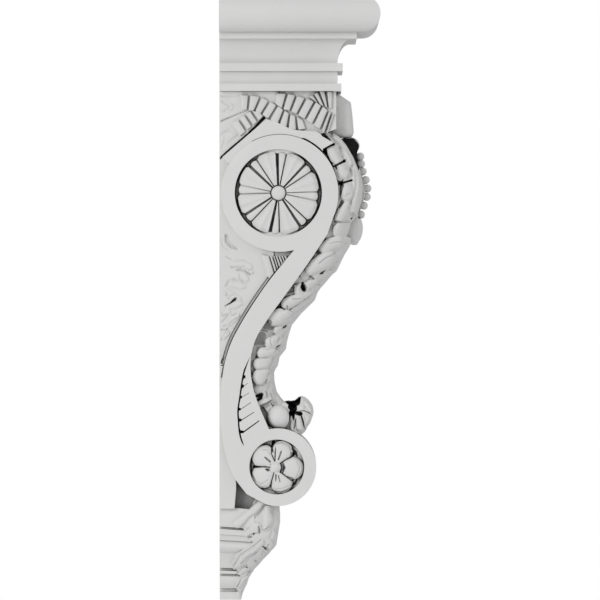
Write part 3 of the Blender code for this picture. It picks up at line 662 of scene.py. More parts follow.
lowerRosette = {
    "base": 53, "back": 50.5,
    # painted shade: dark marks in the rosette's gaps, (how dark, line)
    "paintedShade": [
        (1, [(36.1, -171.2, 0.7), (34.6, -180, 1.5), (35.7, -189.9, 1.1), (40.3, -198.7, 0.7)]),
        (0.9, [(44, -159.5, 0.7), (52.8, -157.3, 1.1)]),
        (1, [(54.6, -157.6, 1.1), (57.7, -160.6, 1.3), (59, -165.7, 0.9)]),
        (1, [(79.9, -162, 1.1), (83.6, -166.4, 2.4), (85.4, -170.3, 1.5)]),
        (0.9, [(91.3, -174.5, 0.7), (92.7, -182.2, 0.9), (91.6, -192.1, 0.7)]),
        (1, [(85.4, -196.5, 1.3), (83.2, -200.2, 2.2), (79.9, -203.1, 1.1)]),
        (0.9, [(79.9, -205.1, 0.7), (67.8, -209.9, 0.9), (55, -207.7, 0.9), (46.9, -204.9, 0.7)]),
        (0.95, [(69.6, -177.4, 1.1), (71.5, -182.9, 1.8), (69.6, -188.4, 1.3)]),
        (0.7, [(52.8, -185.5, 1.8)]),
        (0.7, [(56.1, -179.1, 1.1)]),
    ],
    "carving": {
        "floor": 2.5, "slope": 8, "grow": 1,
        "lobes": [
            (8.6, 2.8, [(69.6, -183.3, 5.9), (80.3, -183.7, 11.3)]),
            (8.2, 2.8, [(63.8, -174.9, 5.1), (69, -165, 10.6)]),
            (8.6, 2.8, [(55.7, -177.1, 5.9), (48.4, -170.8, 11.9)]),
            (8.4, 2.8, [(55.3, -186.6, 5.9), (48.4, -192.6, 11.9)]),
            (8.2, 2.8, [(64.5, -191.7, 5.6), (68.3, -199.2, 11.1)]),
            (9.6, 3, [(61.6, -183.1, 5.3)], 9),
        ],
        "cuts": [
            (3.4, [(54.2, -185.5, 1.9), (51.3, -184.8, 1)]),
            (5, [(67.6, -178.5, 0.9), (69.3, -183.3, 1.8), (67, -188.1, 0.9)]),
            (4.5, [(60.8, -175.6, 0.6), (57.2, -167.9, 0.6), (57.9, -160.9, 1), (59.7, -155.1, 2.2)]),
            (4.5, [(66.7, -178.5, 0.6), (73.3, -174.1, 0.7), (78.4, -171.9, 0.9), (80.6, -168.3, 2.5)]),
            (4.5, [(55.7, -182.6, 0.7), (46.9, -182.1, 0.7), (38.5, -182.2, 1.6)]),
            (4.5, [(60.1, -188.8, 0.6), (57.9, -196.1, 0.6), (56.1, -202.7, 1.2)]),
            (4.5, [(67.4, -188.1, 0.6), (73.3, -192.8, 0.7), (79.9, -196.1, 2.2)]),
        ],
        "softCuts": [
            (3, [(61.2, -175.6, 1), (61.6, -165.3, 1), (61.9, -160.9, 0.4)]),
            (2.6, [(64.9, -174.1, 0.9), (67.4, -167.5, 1.5), (68.2, -164.6, 0.6)]),
            (3, [(55.7, -176.3, 1.6), (51.3, -172.7, 1.3), (49.8, -171.2, 0.4)]),
            (2.6, [(62.3, -191, 1.3), (62.3, -195.4, 1), (61.9, -197.6, 0.4)]),
            (2, [(64.9, -191.7, 0.7), (66.3, -196.9, 1.2), (66.7, -199.1, 0.4)]),
            (1.2, [(61.6, -155.8, 0.7), (69.6, -155.1, 0.9), (77.3, -159.5, 0.9), (78.8, -166.8, 0.6)]),
            (1, [(47.6, -163.1, 0.6), (53.5, -163.9, 0.9), (56.4, -169.7, 0.6)]),
            (1, [(60.1, -206.4, 0.7), (68.2, -206.8, 0.9), (77, -202.7, 0.7)]),
            (1, [(85.8, -176.3, 0.7), (89.1, -183.7, 0.9), (85.8, -191.7, 0.7)]),
            (1, [(39.6, -198.3, 0.6), (46.9, -201.3, 0.9), (53.5, -196.1, 0.6)]),
        ],
    },
}


def lowerRosettes():
    carve = carver(lowerRosette["carving"])
    discSheet("lower_rosettes", scroll["lowerRosette"], scroll["lowerRosetteRadius"] + 0.6,
              lambda radius, degrees, out, up: lowerRosette["base"] + carve(out, up), 64, 320,
              lowerRosette["back"], lowerRosette["paintedShade"])


lowerRosettes()
print("rosettes made")


# the block at the wall, its side panels carved in low relief

panel = {
    "halfWidth": 60.5, "bottom": -228.5, "top": 231.5, "relief": 1.15,
    # (up, how far out the carving runs)
    "front": [(233, 66), (186, 66), (183, 60), (178, 45), (167, 28), (150, 14), (135, 8), (119, 6),
        (103, 8), (88, 14), (71, 28), (60, 45), (55, 60), (24, 60), (0, 45), (-22.5, 31), (-46.5, 18.5),
        (-72, 11), (-100, 8), (-132, 7.5), (-163, 11.5), (-191, 18), (-206, 18.4), (-228.5, 16.5)],
    "block": [(60, 232), (128.5, 232), (128.5, 190), (121, 187), (111, 184.5), (104, 180), (60, 180)],
    "blockUnderRing": [(56, 64), (92, 70), (100, 46), (70, 4), (50, 18)],
    "carving": {
        "cuts": [
            (5.5, [(6.3, -5.1, 0.4), (12.2, -2, 0.9), (16.9, 2.2, 1.6), (18.3, 3.5, 1)]),
            (9, [(-2.8, 154.3, 0.9), (11.5, 166.9, 1.2), (31.8, 184, 1.3), (49.2, 202.2, 1.6)]),
            (3, [(-0.8, 197.2, 0.9), (13, 203.2, 0.8), (28.4, 209.5, 0.6)]),
        ],
        "softCuts": [
            (2.8, [(7.6, 72.6, 2.2), (8.7, 65.9, 3.4), (13.5, 60.4, 3), (19, 57.8, 1.3)]),
            (0.9, [(2.1, 68.4, 1.2), (4.2, 60.4, 1.5), (10.1, 56.2, 1)]),
            (0.9, [(13.1, 42.3, 1.2), (19, 44.6, 1.3), (27.4, 45.2, 0.8)]),
            (1.4, [(13.1, 37.6, 1), (24, 36.8, 1.2), (27, 38.9, 0.8)]),
            (2.2, [(19, 34.7, 0.8), (27.4, 33.8, 1.2), (34, 29.6, 1.1)]),
            (1.2, [(32.9, 34.7, 0.7), (36.3, 34.7, 1), (37.5, 31.3, 0.7)]),
            (1.4, [(21.7, 30.9, 1.3), (22.4, 25.4, 1.7), (26.6, 21.9, 1.2)]),
            (1.3, [(13.8, 25, 1), (19.4, 23.5, 1.2)]),
            (1.3, [(7.2, 16.5, 1.2), (10.6, 22.9, 1.5), (17.3, 22.2, 1)]),
            (1.1, [(5.9, 11.9, 1.2), (9.3, 8.1, 1.3), (7.6, 6.8, 0.8)]),
            (1, [(9.7, 2.6, 1.2), (13.9, 6.8, 1.3), (17.7, 8.1, 0.8)]),
            (1.2, [(7.2, 49.4, 0.8), (11.4, 46.9, 1), (13.1, 46.5, 0.7)]),
            (1.3, [(2.1, -11.3, 1), (4.2, -15.9, 1.3), (8.9, -15.1, 1)]),
            (1.2, [(13.5, -15.5, 0.8), (19.2, -13.4, 1)]),
            (1.2, [(2.6, -23.1, 1), (6.3, -19.3, 1.3), (9.7, -15.9, 0.8)]),
            (1.2, [(4.7, -27.7, 1), (11.4, -24.3, 1.3), (19, -18.4, 0.8)]),
            (1.8, [(2.1, -31.3, 0.8), (6.8, -31.8, 1.2), (10.1, -29.8, 0.8)]),
            (1.2, [(1.3, -43.7, 1), (4.7, -37, 1.3), (9.7, -33.6, 0.8)]),
            (1.4, [(0.2, 225.7, 1), (22.9, 226.9, 1)]),
            (1.2, [(3.1, 220.2, 1.4), (12.8, 214.4, 1.8), (5.9, 209.1, 1.4)]),
            (0.9, [(1.3, 183.7, 1.2), (9.1, 188, 1.6), (15, 188.5, 1)]),
            (0.9, [(6.1, 182.6, 1.2), (5.1, 174.6, 1.6), (2.6, 168.7, 1)]),
        ],
    },
    "swells": {
        "lobes": [
            (0, 1.6, [(15.6, 41, 3.4), (26.6, 41, 3.9), (33.3, 38, 3.4)]),
            (0, 1.8, [(35.4, 32.6, 2.9)]),
            (0, 1.6, [(24.9, 28.8, 5.1), (29.1, 24.5, 3.9)]),
            (0, 1.5, [(13.9, 19.5, 3.7), (23.2, 17, 4.2), (27.4, 16.1, 2.2)]),
            (0, 1.4, [(8, 11.1, 3), (16.5, 5.2, 4), (22.4, 2.6, 2.5)]),
            (0, 1.5, [(9.7, -5.8, 2.5), (16.5, -4.1, 4.4), (23.2, -2.4, 2.5)]),
            (0, 1.3, [(4.7, -12.5, 3), (9.7, -10.9, 3.4)]),
            (0, 1.4, [(8.9, -25.2, 2.9), (15.6, -19.3, 3.9), (20.7, -15.1, 2.2)]),
            (0, 1.3, [(4.7, -39.5, 2.5), (8.9, -34.5, 2.9)]),
            (0, 1.6, [(3.1, 214.7, 5.9), (11, 214.2, 4.6)]),
            (0, 1.2, [(7.1, 178.6, 5), (17, 186.5, 4.6)]),
        ],
    },
}


def panels():
    dents, swells = carver(panel["carving"]), carver(panel["swells"])
    columns, rows = 62, 420

    def place(along, across):
        up = mix(panel["bottom"], panel["top"], along)
        front = readOff(panel["front"], up)
        column = round(across * columns)
        if column == 0:
            return 0.0, 0.0, up
        if column == columns:
            return 0.0, front, up
        out = front * (column - 1) / (columns - 2)
        fade = ease(out / 2.5) * ease((front - out) / 2)
        return panel["halfWidth"] + (dents(out, up) + swells(out, up)) * panel["relief"] * fade, out, up

    carvedSheet("side_panels", rows, columns, place)
    throughPlate("panel_block", panel["block"], panel["halfWidth"] - 0.4)
    throughPlate("block_under_ring", panel["blockUnderRing"], panel["halfWidth"] - 1.5)


panels()
print("panels made")


# spandrel above the upper volute, the fillet along the ribbon, and the pleated bands

spandrel = {
    "halfWidth": 65, "sunk": 56,
    "outline": [(3, 158.5), (51.5, 200.5), (62, 198), (70, 193.5), (78, 190), (86, 188.3), (97, 187.6),
        (107, 187), (111.5, 184.2), (113, 181.8), (122, 176.6), (126, 174.6), (113.5, 167.6)],
    "openEdge": (66.3, 44, 66),                       # along the ring: radius, from and to degrees
    "thinEdge": (64.85, 69, 118), "hiddenEdge": (57, 122, 152),
}
def spandrels():
    ringEdge = [point for key in ("openEdge", "thinEdge", "hiddenEdge")
                for point in arc(scroll["upperCentre"], *spandrel[key], 14)]
    plate("spandrels", spandrel["outline"] + ringEdge, spandrel["sunk"], spandrel["halfWidth"], bevel=0.9)


spandrels()

backFillet = {"halfWidth": 63, "width": 4.2, "gap": 1.2}


def backFillets():
    edge = smoothLine(scroll["back"][:5] + [(6.5, -64), (2.6, -84)], 6)
    outline = offsetLine(edge, -backFillet["width"]) + list(reversed(offsetLine(edge, -backFillet["gap"])))
    plate("back_fillets", [(max(out, 0.2), up) for out, up in outline], 50, backFillet["halfWidth"], bevel=0.7)


backFillets()

pleats = {
    "sunk": 56, "face": 65.3, "gap": 1.1, "fall": 1.6,
    "bands": {                                        # the slits of each band: (upper end, lower end)
        "long": [[(24.1, 226.9), (24.2, 210.7)], [(33, 227.3), (31.4, 210.3)], [(45.9, 225.3),
            (38.5, 209.1)], [(55.3, 220), (46.2, 205.9)], [(63.9, 215.4), (54.9, 200.4)], [(71.2, 210.5),
            (64.8, 193.6)], [(77.4, 206.5), (74.8, 189.3)], [(84.3, 203.8), (85.9, 188.5)], [(92.7, 198.9),
            (96.2, 189.7)]],
        "front": [[(62.7, 228.9), (61.3, 217.7)], [(74.6, 228.9), (69.5, 211.5)], [(84.8, 226.6),
            (78.2, 209.3)], [(95.4, 223.6), (85.6, 205.5)], [(105.3, 219.7), (94.5, 199.9)], [(113.2, 215),
            (102.9, 194.4)], [(120.1, 209.8), (111.6, 188.5)], [(123.9, 207.5), (116.5, 185)],
            [(127.1, 205.8), (120.1, 184.5)]],
        "back": [[(14, 195.6), (22.4, 181.6)], [(21.4, 200.8), (29.8, 187.9)], [(27.9, 206.3),
            (36.5, 193.3)], [(35, 209.7), (42.7, 198.4)], [(44.7, 208.3), (49.2, 204.8)]],
        "fan": [[(98.2, 225.3), (105.3, 220.4)], [(103.5, 227.7), (110, 216.8)], [(108.9, 231.5),
            (116.2, 214.4)], [(117.2, 231.9), (119.7, 212.5)], [(125.7, 230.7), (124.3, 211.7)]],
        "under": [[(46.4, 51.5), (54.5, 24.3)], [(55.2, 50), (60.7, 31.5)], [(58.7, 49.8), (63.2, 35.4)],
            [(61.5, 49.8), (65.3, 37.7)], [(64.4, 50), (68.3, 39.6)], [(67.5, 50.1), (70.8, 42)],
            [(70.6, 50.4), (73.1, 43.8)], [(73.7, 50.8), (75.9, 45.6)]],
    },
}


def pleat(name, corners, gapStart, gapEnd):           # a bar with rounded edges that leans a little to one side
    (topA, footA), (topB, footB) = corners
    width = max(0.5, (math.dist(topA, topB) + math.dist(footA, footB)) / 2)
    inStart, inEnd = gapStart / width, 1 - gapEnd / width
    nothingSelected()
    bpy.ops.mesh.primitive_cube_add(size=mm)
    piece = bpy.context.object
    piece.name = name
    quad = {(0, 0): mix(topA, topB, inStart), (0, 1): mix(topA, topB, inEnd),
            (1, 0): mix(footA, footB, inStart), (1, 1): mix(footA, footB, inEnd)}
    for vertex in piece.data.vertices:
        foot, far = int(vertex.co.y > 0), int(vertex.co.z > 0)
        x = pleats["sunk"] if vertex.co.x < 0 else pleats["face"] - (pleats["fall"] if far else 0)
        vertex.co = spot(x, *quad[foot, far])
    normalsOut(piece)
    applied(piece, "BEVEL", width=min(1.3, width * 0.2) * mm, segments=3, limit_method="NONE")
    return piece


def pleatedBands():
    for band, slits in pleats["bands"].items():
        gap = pleats["gap"] * (0.55 if band == "under" else 1.0)
        bars = [pleat(f"pleats_{band}", corners, gap if i else 0.1, gap)
                for i, corners in enumerate(zip(slits, slits[1:]))]
        chosen(bars[0])
        for bar in bars[1:]:
            bar.select_set(True)
        bpy.ops.object.join()
        bothSides(bars[0])
        finished(bars[0], 50)


pleatedBands()
print("bands made")


# front leaf: lobes that hang from a body, black gaps between their tips and the ribbon

frontLeaf = {
    "widths": [(400, 57), (-400, 57)], "fullness": 1, "tuck": 4, "rows": 290, "columns": 84,
    "veinFall": 0.75, "veinDepth": 2.8,
    # up, at the side edge
    "veins": [95, 78, 62, 47, 22, 4, -10, -27, -39, -52, -63, -77, -91, -104, -122, -140],
    "paintedShade": [                                         # (how dark, line) of painted shade in the leaf's gaps
        (0.55, [(54.9, -23.2, 3.6), (50.4, -28.3, 3.3), (57.9, -29.5, 2.7)]),
        (0.5, [(47.4, -37.3, 4.2), (44, -44.5, 3.9), (49.1, -45.7, 2.4)]),
        (0.95, [(45.2, -31.3, 0.9), (52.7, -33.1, 0.9)]),
        (0.85, [(41, -104.4, 1.9), (46.7, -102.5, 2.2), (45.2, -106.5, 2.2), (42.2, -108.6, 1.8)]),
        (0.45, [(43.7, -36.7, 3), (39.5, -46.3, 2.7)]),
        (0.25, [(37.1, -51.2, 3.3), (35.3, -59.5, 3)]),
        (0.8, [(45.2, -114.9, 1.3), (52.7, -112.2, 1.3), (56.9, -109.2, 1.2)]),
        (0.35, [(50.4, -116.7, 2.1), (54.5, -114.6, 1.5)]),
        (0.35, [(47.4, -117.9, 2.7), (50, -122.7, 3.9), (53.4, -130.6, 3.9), (57.9, -137.1, 3)]),
    ],
    "foot": [(118.4, 80.7), (115.1, 74.1), (104.7, 58.7), (94.2, 43.3), (83.2, 27.3), (72.2, 11.9),
        (61.2, -2.9), (49.7, -19.4), (41.4, -31.5), (35.4, -44), (32.1, -55.7), (30.4, -70), (31.5, -83.2),
        (34, -97.5), (38.1, -109.6), (42.5, -122.1), (48, -132.7), (53.5, -144.8)],
    "crest": [(145.9, 69.7), (143.7, 60.9), (138.2, 51.8), (129.3, 33.6), (124.1, 29.2), (108.7, 10.8),
        (105.1, 1.2), (90.1, -13.6), (79.9, -26), (76.3, -37), (74.3, -44.7), (73.5, -52.7), (66.5, -61.4),
        (64.6, -70.6), (62.2, -74.5), (60.2, -78.6), (60.7, -89), (63.1, -99.6), (67.9, -106.9),
        (73.3, -112.9), (78.8, -120.6)],
    "carving": {
        "floor": -6, "slope": 9, "grow": 1.1,
        "body": (0, [(139, 81.2), (127.4, 71.9), (117.7, 52.1), (111.4, 40.8), (102.9, 29.5), (108.9, 21.8),
            (94.6, 19.7), (97.5, 14), (95.5, 9.7), (86.2, 4.1), (76.9, -5.8), (73.7, -9.3), (70.6, -21.4),
            (64.4, -28.4), (61.3, -33), (64.4, -36.9)]),
        "lobes": [
            (1.5, 2, [(116.5, 59.1, 5.6), (122.7, 63.3, 5.9), (130.5, 64.9, 6.2)]),
            (1.5, 2.4, [(101, 35.4, 5.4), (106.4, 39.2, 7.2), (113.4, 43.1, 8.2), (120.4, 46.2, 8.6)]),
            (0.5, 2.6, [(88.3, 17.5, 1.4), (86.2, 14.8, 2.5), (86.8, 10.3, 3), (90.2, 6.4, 3.4),
                (94.9, 5.8, 3.6), (100.2, 7.4, 3.1)]),
            (0.5, 1.5, [(101.7, 17.5, 5.4), (104.8, 18.3, 4.7)]),
            (1.5, 2.4, [(73.9, -2.3, 5), (80, -0.4, 5.8), (87.7, 2.3, 4.7)]),
            (2, 2.2, [(61.7, -18.3, 7.4), (66, -16.7, 7.8)]),
            (3.5, 2.4, [(68.7, -19.1, 6.5), (73.7, -16.7, 6.2)]),
            (0.5, 1.5, [(64.4, -31.1, 2.8), (69.1, -29.9, 2.6)]),
            (-4, 0.5, [(85, 22.5, 3.9), (93.2, 23.3, 2.8), (101.7, 23.7, 1.4)], 2.5),
            (-4, 0.5, [(108.7, 51.3, 2), (112.6, 51.5, 1.1)], 3),
            (-4, 0.5, [(73, 5, 2.3), (81.5, 7.4, 1.9)], 3),
            (-4, 0.5, [(59.8, -11.7, 2), (66, -8.9, 1.2)], 3),
            (1.5, 2.2, [(56.2, -45.7, 5.1), (62.7, -44.1, 5.7), (67.4, -43, 4.8)]),
            (1.5, 2.2, [(48, -57.1, 5.2), (54, -56.8, 5.1), (59.5, -56.4, 4.8)]),
            (1.5, 2.2, [(43.3, -69.1, 5.2), (50, -68.3, 5.7), (54, -66.7, 4)]),
            (2, 2.4, [(44.6, -83.1, 7.4), (50, -81.8, 7.1)]),
            (-5, 0.5, [(42.1, -96, 3.2), (45.2, -95.3, 2.4)], 2),
            (-1, 1.6, [(43.7, -113.1, 1.9), (50, -110.5, 2.2), (55.5, -107.5, 1.9)]),
            (-9, 0.3, [(42.1, -36.6, 2.1), (39.7, -43, 1.6)], 1.2),
            (-3, 0.5, [(35.9, -52.7, 3.9), (34.7, -65.5, 3.3), (36.5, -75.9, 2.1)], 3),
            (-2.5, 0.5, [(119, 70.2, 3.3), (111.8, 57.9, 2.2)], 3),
            (-2.5, 0.5, [(106.6, 49.6, 2.2), (98.3, 37.2, 2.2), (94.2, 28.4, 3.9)], 3),
        ],
        "cuts": [
            (9, [(111.1, 30.3, 0.7), (114.6, 31.5, 1.7), (116.5, 33.8, 0.8)]),
            (9, [(123.9, 34, 0.6), (127, 35.2, 1.7), (128.6, 37.1, 0.9)]),
            (6, [(105.2, 10.9, 0.6), (108.3, 12, 0.9)]),
            (7, [(71, -29.2, 0.7), (73.7, -27.6, 1.1), (75.7, -25.9, 0.5)]),
            (10, [(92, 21, 0.9), (92.4, 16.3, 3.3), (94, 12.4, 2)]),
            (7, [(62.4, -50.7, 0.6), (65.1, -49.4, 1.1), (67.1, -48, 0.6)]),
            (4, [(47.8, -91, 1.1), (50.4, -88.9, 1.6), (52.2, -85.7, 0.8)]),
            (2, [(56.2, -84.3, 0.6), (57.3, -82.7, 0.6)]),
            (9, [(41, -104.4, 1.8), (46.7, -102.5, 2.1), (45.2, -106.5, 2.1), (42.2, -108.6, 1.6)]),
            (4.5, [(47.4, -117.9, 2.7), (50.9, -125.4, 3.9), (56, -135.1, 3.3)]),
            (3, [(57.9, -111.1, 0.6), (60.3, -115.1, 1.1)]),
        ],
        "softCuts": [
            (3, [(124.7, 37.7, 1.6), (127.4, 41.6, 2.6), (128.9, 44.7, 1.1)]),
            (2, [(109.5, 42, 0.8), (116.5, 47.6, 1.1), (128.2, 53.6, 0.8)]),
            (1.6, [(121.2, 63.3, 0.8), (128.2, 65.3, 1.2), (135.9, 64.9, 0.9)]),
            (3, [(101.7, 7.8, 0.7), (91.6, 0.4, 1), (76.9, -9.9, 0.8)]),
            (2.2, [(80.7, 2.9, 0.9), (84.6, 2.3, 1.4), (89.3, 2.7, 0.8)]),
            (2, [(74.1, -4.3, 0.7), (74.7, -8.2, 0.9)]),
            (2, [(105.6, 17.5, 0.9), (109.5, 22.1, 1.2), (112.6, 23.7, 0.8)]),
            (1.6, [(56.3, -39.8, 0.8), (55.9, -45.3, 1.1), (57.5, -50.1, 0.8)]),
            (1.8, [(51.6, -52.9, 0.8), (57.9, -52.3, 1), (62.7, -52.5, 0.8)]),
            (1.6, [(44.8, -62.4, 0.8), (51.6, -62, 1.1), (57.9, -60.8, 0.8)]),
            (1.8, [(42.1, -75.4, 0.8), (50, -74.5, 1.1), (56.3, -71.5, 0.8)]),
            (2.2, [(65.8, -39.8, 1), (61.1, -58.8, 1.3), (55.5, -71.5, 1.4), (52.4, -82.6, 1)]),
            (3, [(53.2, -106.3, 1.1), (54, -102.4, 1.9), (52.4, -98.4, 1.1)]),
            (3, [(57.9, -100, 0.8), (60.3, -107.9, 1.4), (62.7, -115.1, 1.4)]),
            (3.5, [(59.5, -96.8, 0.8), (65.8, -112.7, 1.6), (73.8, -120.6, 1.9)]),
        ],
    },
}


def leafSection():                                    # places (x, rise), each 0 to 40, evenly round a leaf
    turns = [math.pi / 2 * (1 - (1 - i / 300) ** 3) for i in range(301)]
    return Track([(40 * max(0.0, math.cos(turn)) ** 0.55, 40 * math.sin(turn)) for turn in turns])


def veinDepth(leaf, x, up, width):                    # 0 on the midrib and each lobe, 1 in the creases
    place = up - leaf["veinFall"] * (width - x)
    crease = 0.0
    for above, below in zip(leaf["veins"], leaf["veins"][1:]):
        if below <= place <= above:
            crease = 1 - math.sin(math.pi * (place - below) / (above - below)) ** 0.6
    beside = math.exp(-((x - 6.0) / 2.6) ** 2)
    return max(0.8 * beside, crease * ease((x - 4) / 6)) * ease((x - 1.5) / 3)


def leafSheet(name, leaf):                            # wrapped round the front, from its foot on both sides
    foot, crest = Track(smoothLine(leaf["foot"], 4)), Track(leaf["crest"])
    carve, section, columns = carver(leaf["carving"]), leafSection(), leaf["columns"]
    lowest = -329.8                                   # just above the corbel's foot

    def place(along, across):
        start, end = foot.at(1 - along), crest.at(1 - along)
        direction = Vector((end[0] - start[0], end[1] - start[1])).normalized()
        column = round(across * columns)
        if column == 0:                               # tucked in under the foot
            out, up = start[0] - direction.x * leaf["tuck"], start[1] - direction.y * leaf["tuck"]
            return 0.0, out, max(up, lowest)
        x, rise = section.at((column - 1) / (columns - 1))
        rise /= 40
        out, up = mix(start, end, rise)
        width = readOff(leaf["widths"], up)
        x = width * (x / 40) ** leaf["fullness"]
        height = carve(out, up) * (1 - 0.85 * ease((rise - 0.82) / 0.18))
        vein = -leaf["veinDepth"] * veinDepth(leaf, x, up, width) * ease((rise - 0.6) / 0.25)
        turn = math.asin(min(1.0, rise))
        x = max(0.0, x + height * math.cos(turn)) if column < columns else 0.0
        lift = height * math.sin(turn) * 0.35 + vein
        return x, max(out + direction.x * lift, 0.5), max(up + direction.y * lift, lowest)

    carvedSheet(name, leaf["rows"], columns, place, paintedShade=leaf.get("paintedShade", ()))


leafSheet("front_leaf", frontLeaf)
print("front leaf made")


# upper leaf: lobes between the ring and a smooth rim, and the hollow for the pearls

upperLeaf = {
    "halfWidth": 58.5, "rimHalfWidth": 37, "rimInner": 13.5, "rows": 210, "columns": 96,
    "foot": [(104.1, 188), (111.6, 174.5), (118.2, 163), (123.1, 154.7), (127.2, 145.3), (130.1, 136),
        (131.7, 126.6), (132, 113), (130.1, 99.5), (126, 88), (120.8, 76.6), (114.5, 66.2), (108.3, 56.8)],
    "footInset": 3,
    "crest": [(120.2, 190.1), (132.4, 181), (139.7, 171.6), (147, 158.9), (152, 146.4), (155.1, 134.9),
        (155.8, 122.4), (154.7, 111), (152, 99.5), (148.9, 91.7), (146.4, 88.9), (144.1, 86), (141.1, 74.5),
        (138.3, 66.7), (140.6, 64.1)],
    "carving": {
        "floor": -8, "slope": 10, "grow": 1.1,
        "body": (-1, [(112.4, 193.2), (118.7, 183.9), (125.4, 176.1), (129.1, 168.2), (130.1, 157.8),
            (133.3, 149.5), (138.5, 137), (136.4, 126.6), (135.9, 112), (138.5, 105.7), (129.1, 90.6),
            (128.1, 89.1), (133.3, 86), (131.7, 81.8), (133.3, 70.3), (123.9, 65.1)]),
        "lobes": [
            (0.5, 1.6, [(123.4, 166.2, 4), (127, 157.8, 4.4), (130.1, 153.7, 3.1)], 7),
            (0.5, 2.2, [(135.3, 145.9, 4.4), (136.4, 141.2, 4.8), (140.6, 140.1, 4.4)], 7),
            (0.5, 2.6, [(141.1, 122.4, 6.5), (141.6, 118.2, 7.3)], 7),
            (0.5, 2.4, [(141.1, 106.8, 3.8), (136.4, 98.5, 5.4), (132.7, 92.2, 4.8)], 7),
            (1.5, 3, [(134.3, 77.4, 8.5), (139.5, 78.7, 8.8)], 7),
            (-3, 0.5, [(133.5, 123.9, 3), (132.7, 112, 3.3), (130, 99.9, 3.3), (126.1, 82.6, 3.9),
                (121.7, 71.6, 3.9)], 3),
            (-1.2, 0.5, [(123.4, 164.3, 2.2), (126.7, 157.7, 2.5), (129.4, 148.6, 2.8),
                (132.7, 136.8, 2.8)], 6),
            (3, 2, [(128.1, 183.9, 2.1), (138.5, 174, 3.1), (146.8, 160.4, 3.3), (152.2, 145.3, 4),
                (153.9, 127.6, 4.4), (152, 112, 4.4), (149.1, 99.5, 2.7), (149.4, 93.2, 0.8)], 2.2),
        ],
        "cuts": [
            (12, [(113.7, 167.4, 1), (126, 173.5, 1.3)]),
            (12, [(126, 173.5, 1.7), (125.8, 173.5, 1.7)]),
            (12, [(126.2, 148.7, 1), (138.3, 154.9, 1.3)]),
            (12, [(137.9, 154.9, 1.9), (138.2, 154.9, 1.9)]),
            (12, [(132.4, 129.9, 1.3), (145.8, 133.5, 1)]),
            (12, [(145.6, 133.5, 1.3), (145.8, 133.5, 1.3)]),
            (12, [(115.9, 166.6, 2.5), (118.5, 162.2, 0.9)]),
            (12, [(128.3, 148, 1), (128.9, 146.2, 0.7)]),
            (6, [(134.8, 127.8, 2.5), (133.8, 122.4, 1.3), (133.3, 117.2, 0.6)]),
            (3.5, [(135.6, 109.7, 2.1), (131.7, 103.1, 1)]),
            (10, [(114.5, 181.6, 1.7), (117.6, 180.5, 2.7), (121.3, 177.8, 1.5)]),
            (6, [(146.8, 96.9, 1.3), (148.1, 94.3, 1.7), (145.8, 91.2, 1)]),
        ],
        "softCuts": [
            (5, [(133.3, 169.3, 2.5), (135.3, 162, 3.8), (136.4, 158.9, 2.3)]),
            (4.5, [(145.8, 149.5, 1.7), (144.7, 141.2, 3.8), (142.1, 136.5, 2.7)]),
            (2, [(139.5, 116.2, 2.1), (142.6, 117.2, 2.7)]),
            (2.6, [(120.8, 183.9, 1.5), (130.1, 174.5, 2.1), (139.5, 167.2, 2.1), (145.8, 155.7, 2.1),
                (149.7, 141.2, 2.1), (150.1, 126.6, 2.1), (146.8, 114.1, 2.1), (141.6, 101.6, 1.5)]),
            (3, [(127.5, 88.2, 1.3), (136.4, 86.8, 1.7), (142.6, 87.2, 1.3)]),
            (2, [(145.8, 87, 1.7), (143.7, 78.7, 2.3), (140.6, 69.3, 2.3)]),
        ],
    },
}


def upperLeafSheet():
    foot = Track(offsetLine(smoothLine(upperLeaf["foot"], 4), -upperLeaf["footInset"]))
    crest = Track(upperLeaf["crest"])
    carve = carver(upperLeaf["carving"])
    columns, sideColumns, rimColumns = upperLeaf["columns"], 56, 22
    rim, rimInner = upperLeaf["rimHalfWidth"], upperLeaf["rimInner"]

    def place(along, across):
        share = 1 - along
        start, end = foot.at(share), crest.at(share)
        direction = Vector((end[0] - start[0], end[1] - start[1])).normalized()
        column = round(across * columns)
        if column == 0:
            return 0.0, start[0] - direction.x * 4, start[1] - direction.y * 4
        if column <= sideColumns:
            rise = (column - 1) / (sideColumns - 1)
            x = mix(upperLeaf["halfWidth"], rim, rise ** 2.5)
            out, up = mix(start, end, rise)
            lean = 0.35 * rise
            height = carve(out, up) * (1 - 0.75 * ease((rise - 0.88) / 0.12))
            return x + height * (1 - lean), out + direction.x * height * lean, up + direction.y * height * lean
        if column <= sideColumns + rimColumns:        # over the rim, fluted once along its length
            part = (column - sideColumns) / rimColumns
            rise = 0.9 * math.sin(math.pi * part) ** 0.5 - 2.2 * math.exp(-((part - 0.42) / 0.09) ** 2)
            x = mix(rim + carve(*end) * 0.25, rimInner, part)
            return x, end[0] + direction.x * rise, end[1] + direction.y * rise
        hollow = mix(14.0, 6.0, ease((share - 0.15) / 0.6)) * (1 - ease((share - 0.86) / 0.12))
        part = (column - sideColumns - rimColumns) / (columns - sideColumns - rimColumns)
        sink = hollow * ease(part * 2.6)
        return mix(rimInner, 0, part), end[0] - direction.x * sink, end[1] - direction.y * sink

    carvedSheet("upper_leaf", upperLeaf["rows"], columns, place)


upperLeafSheet()

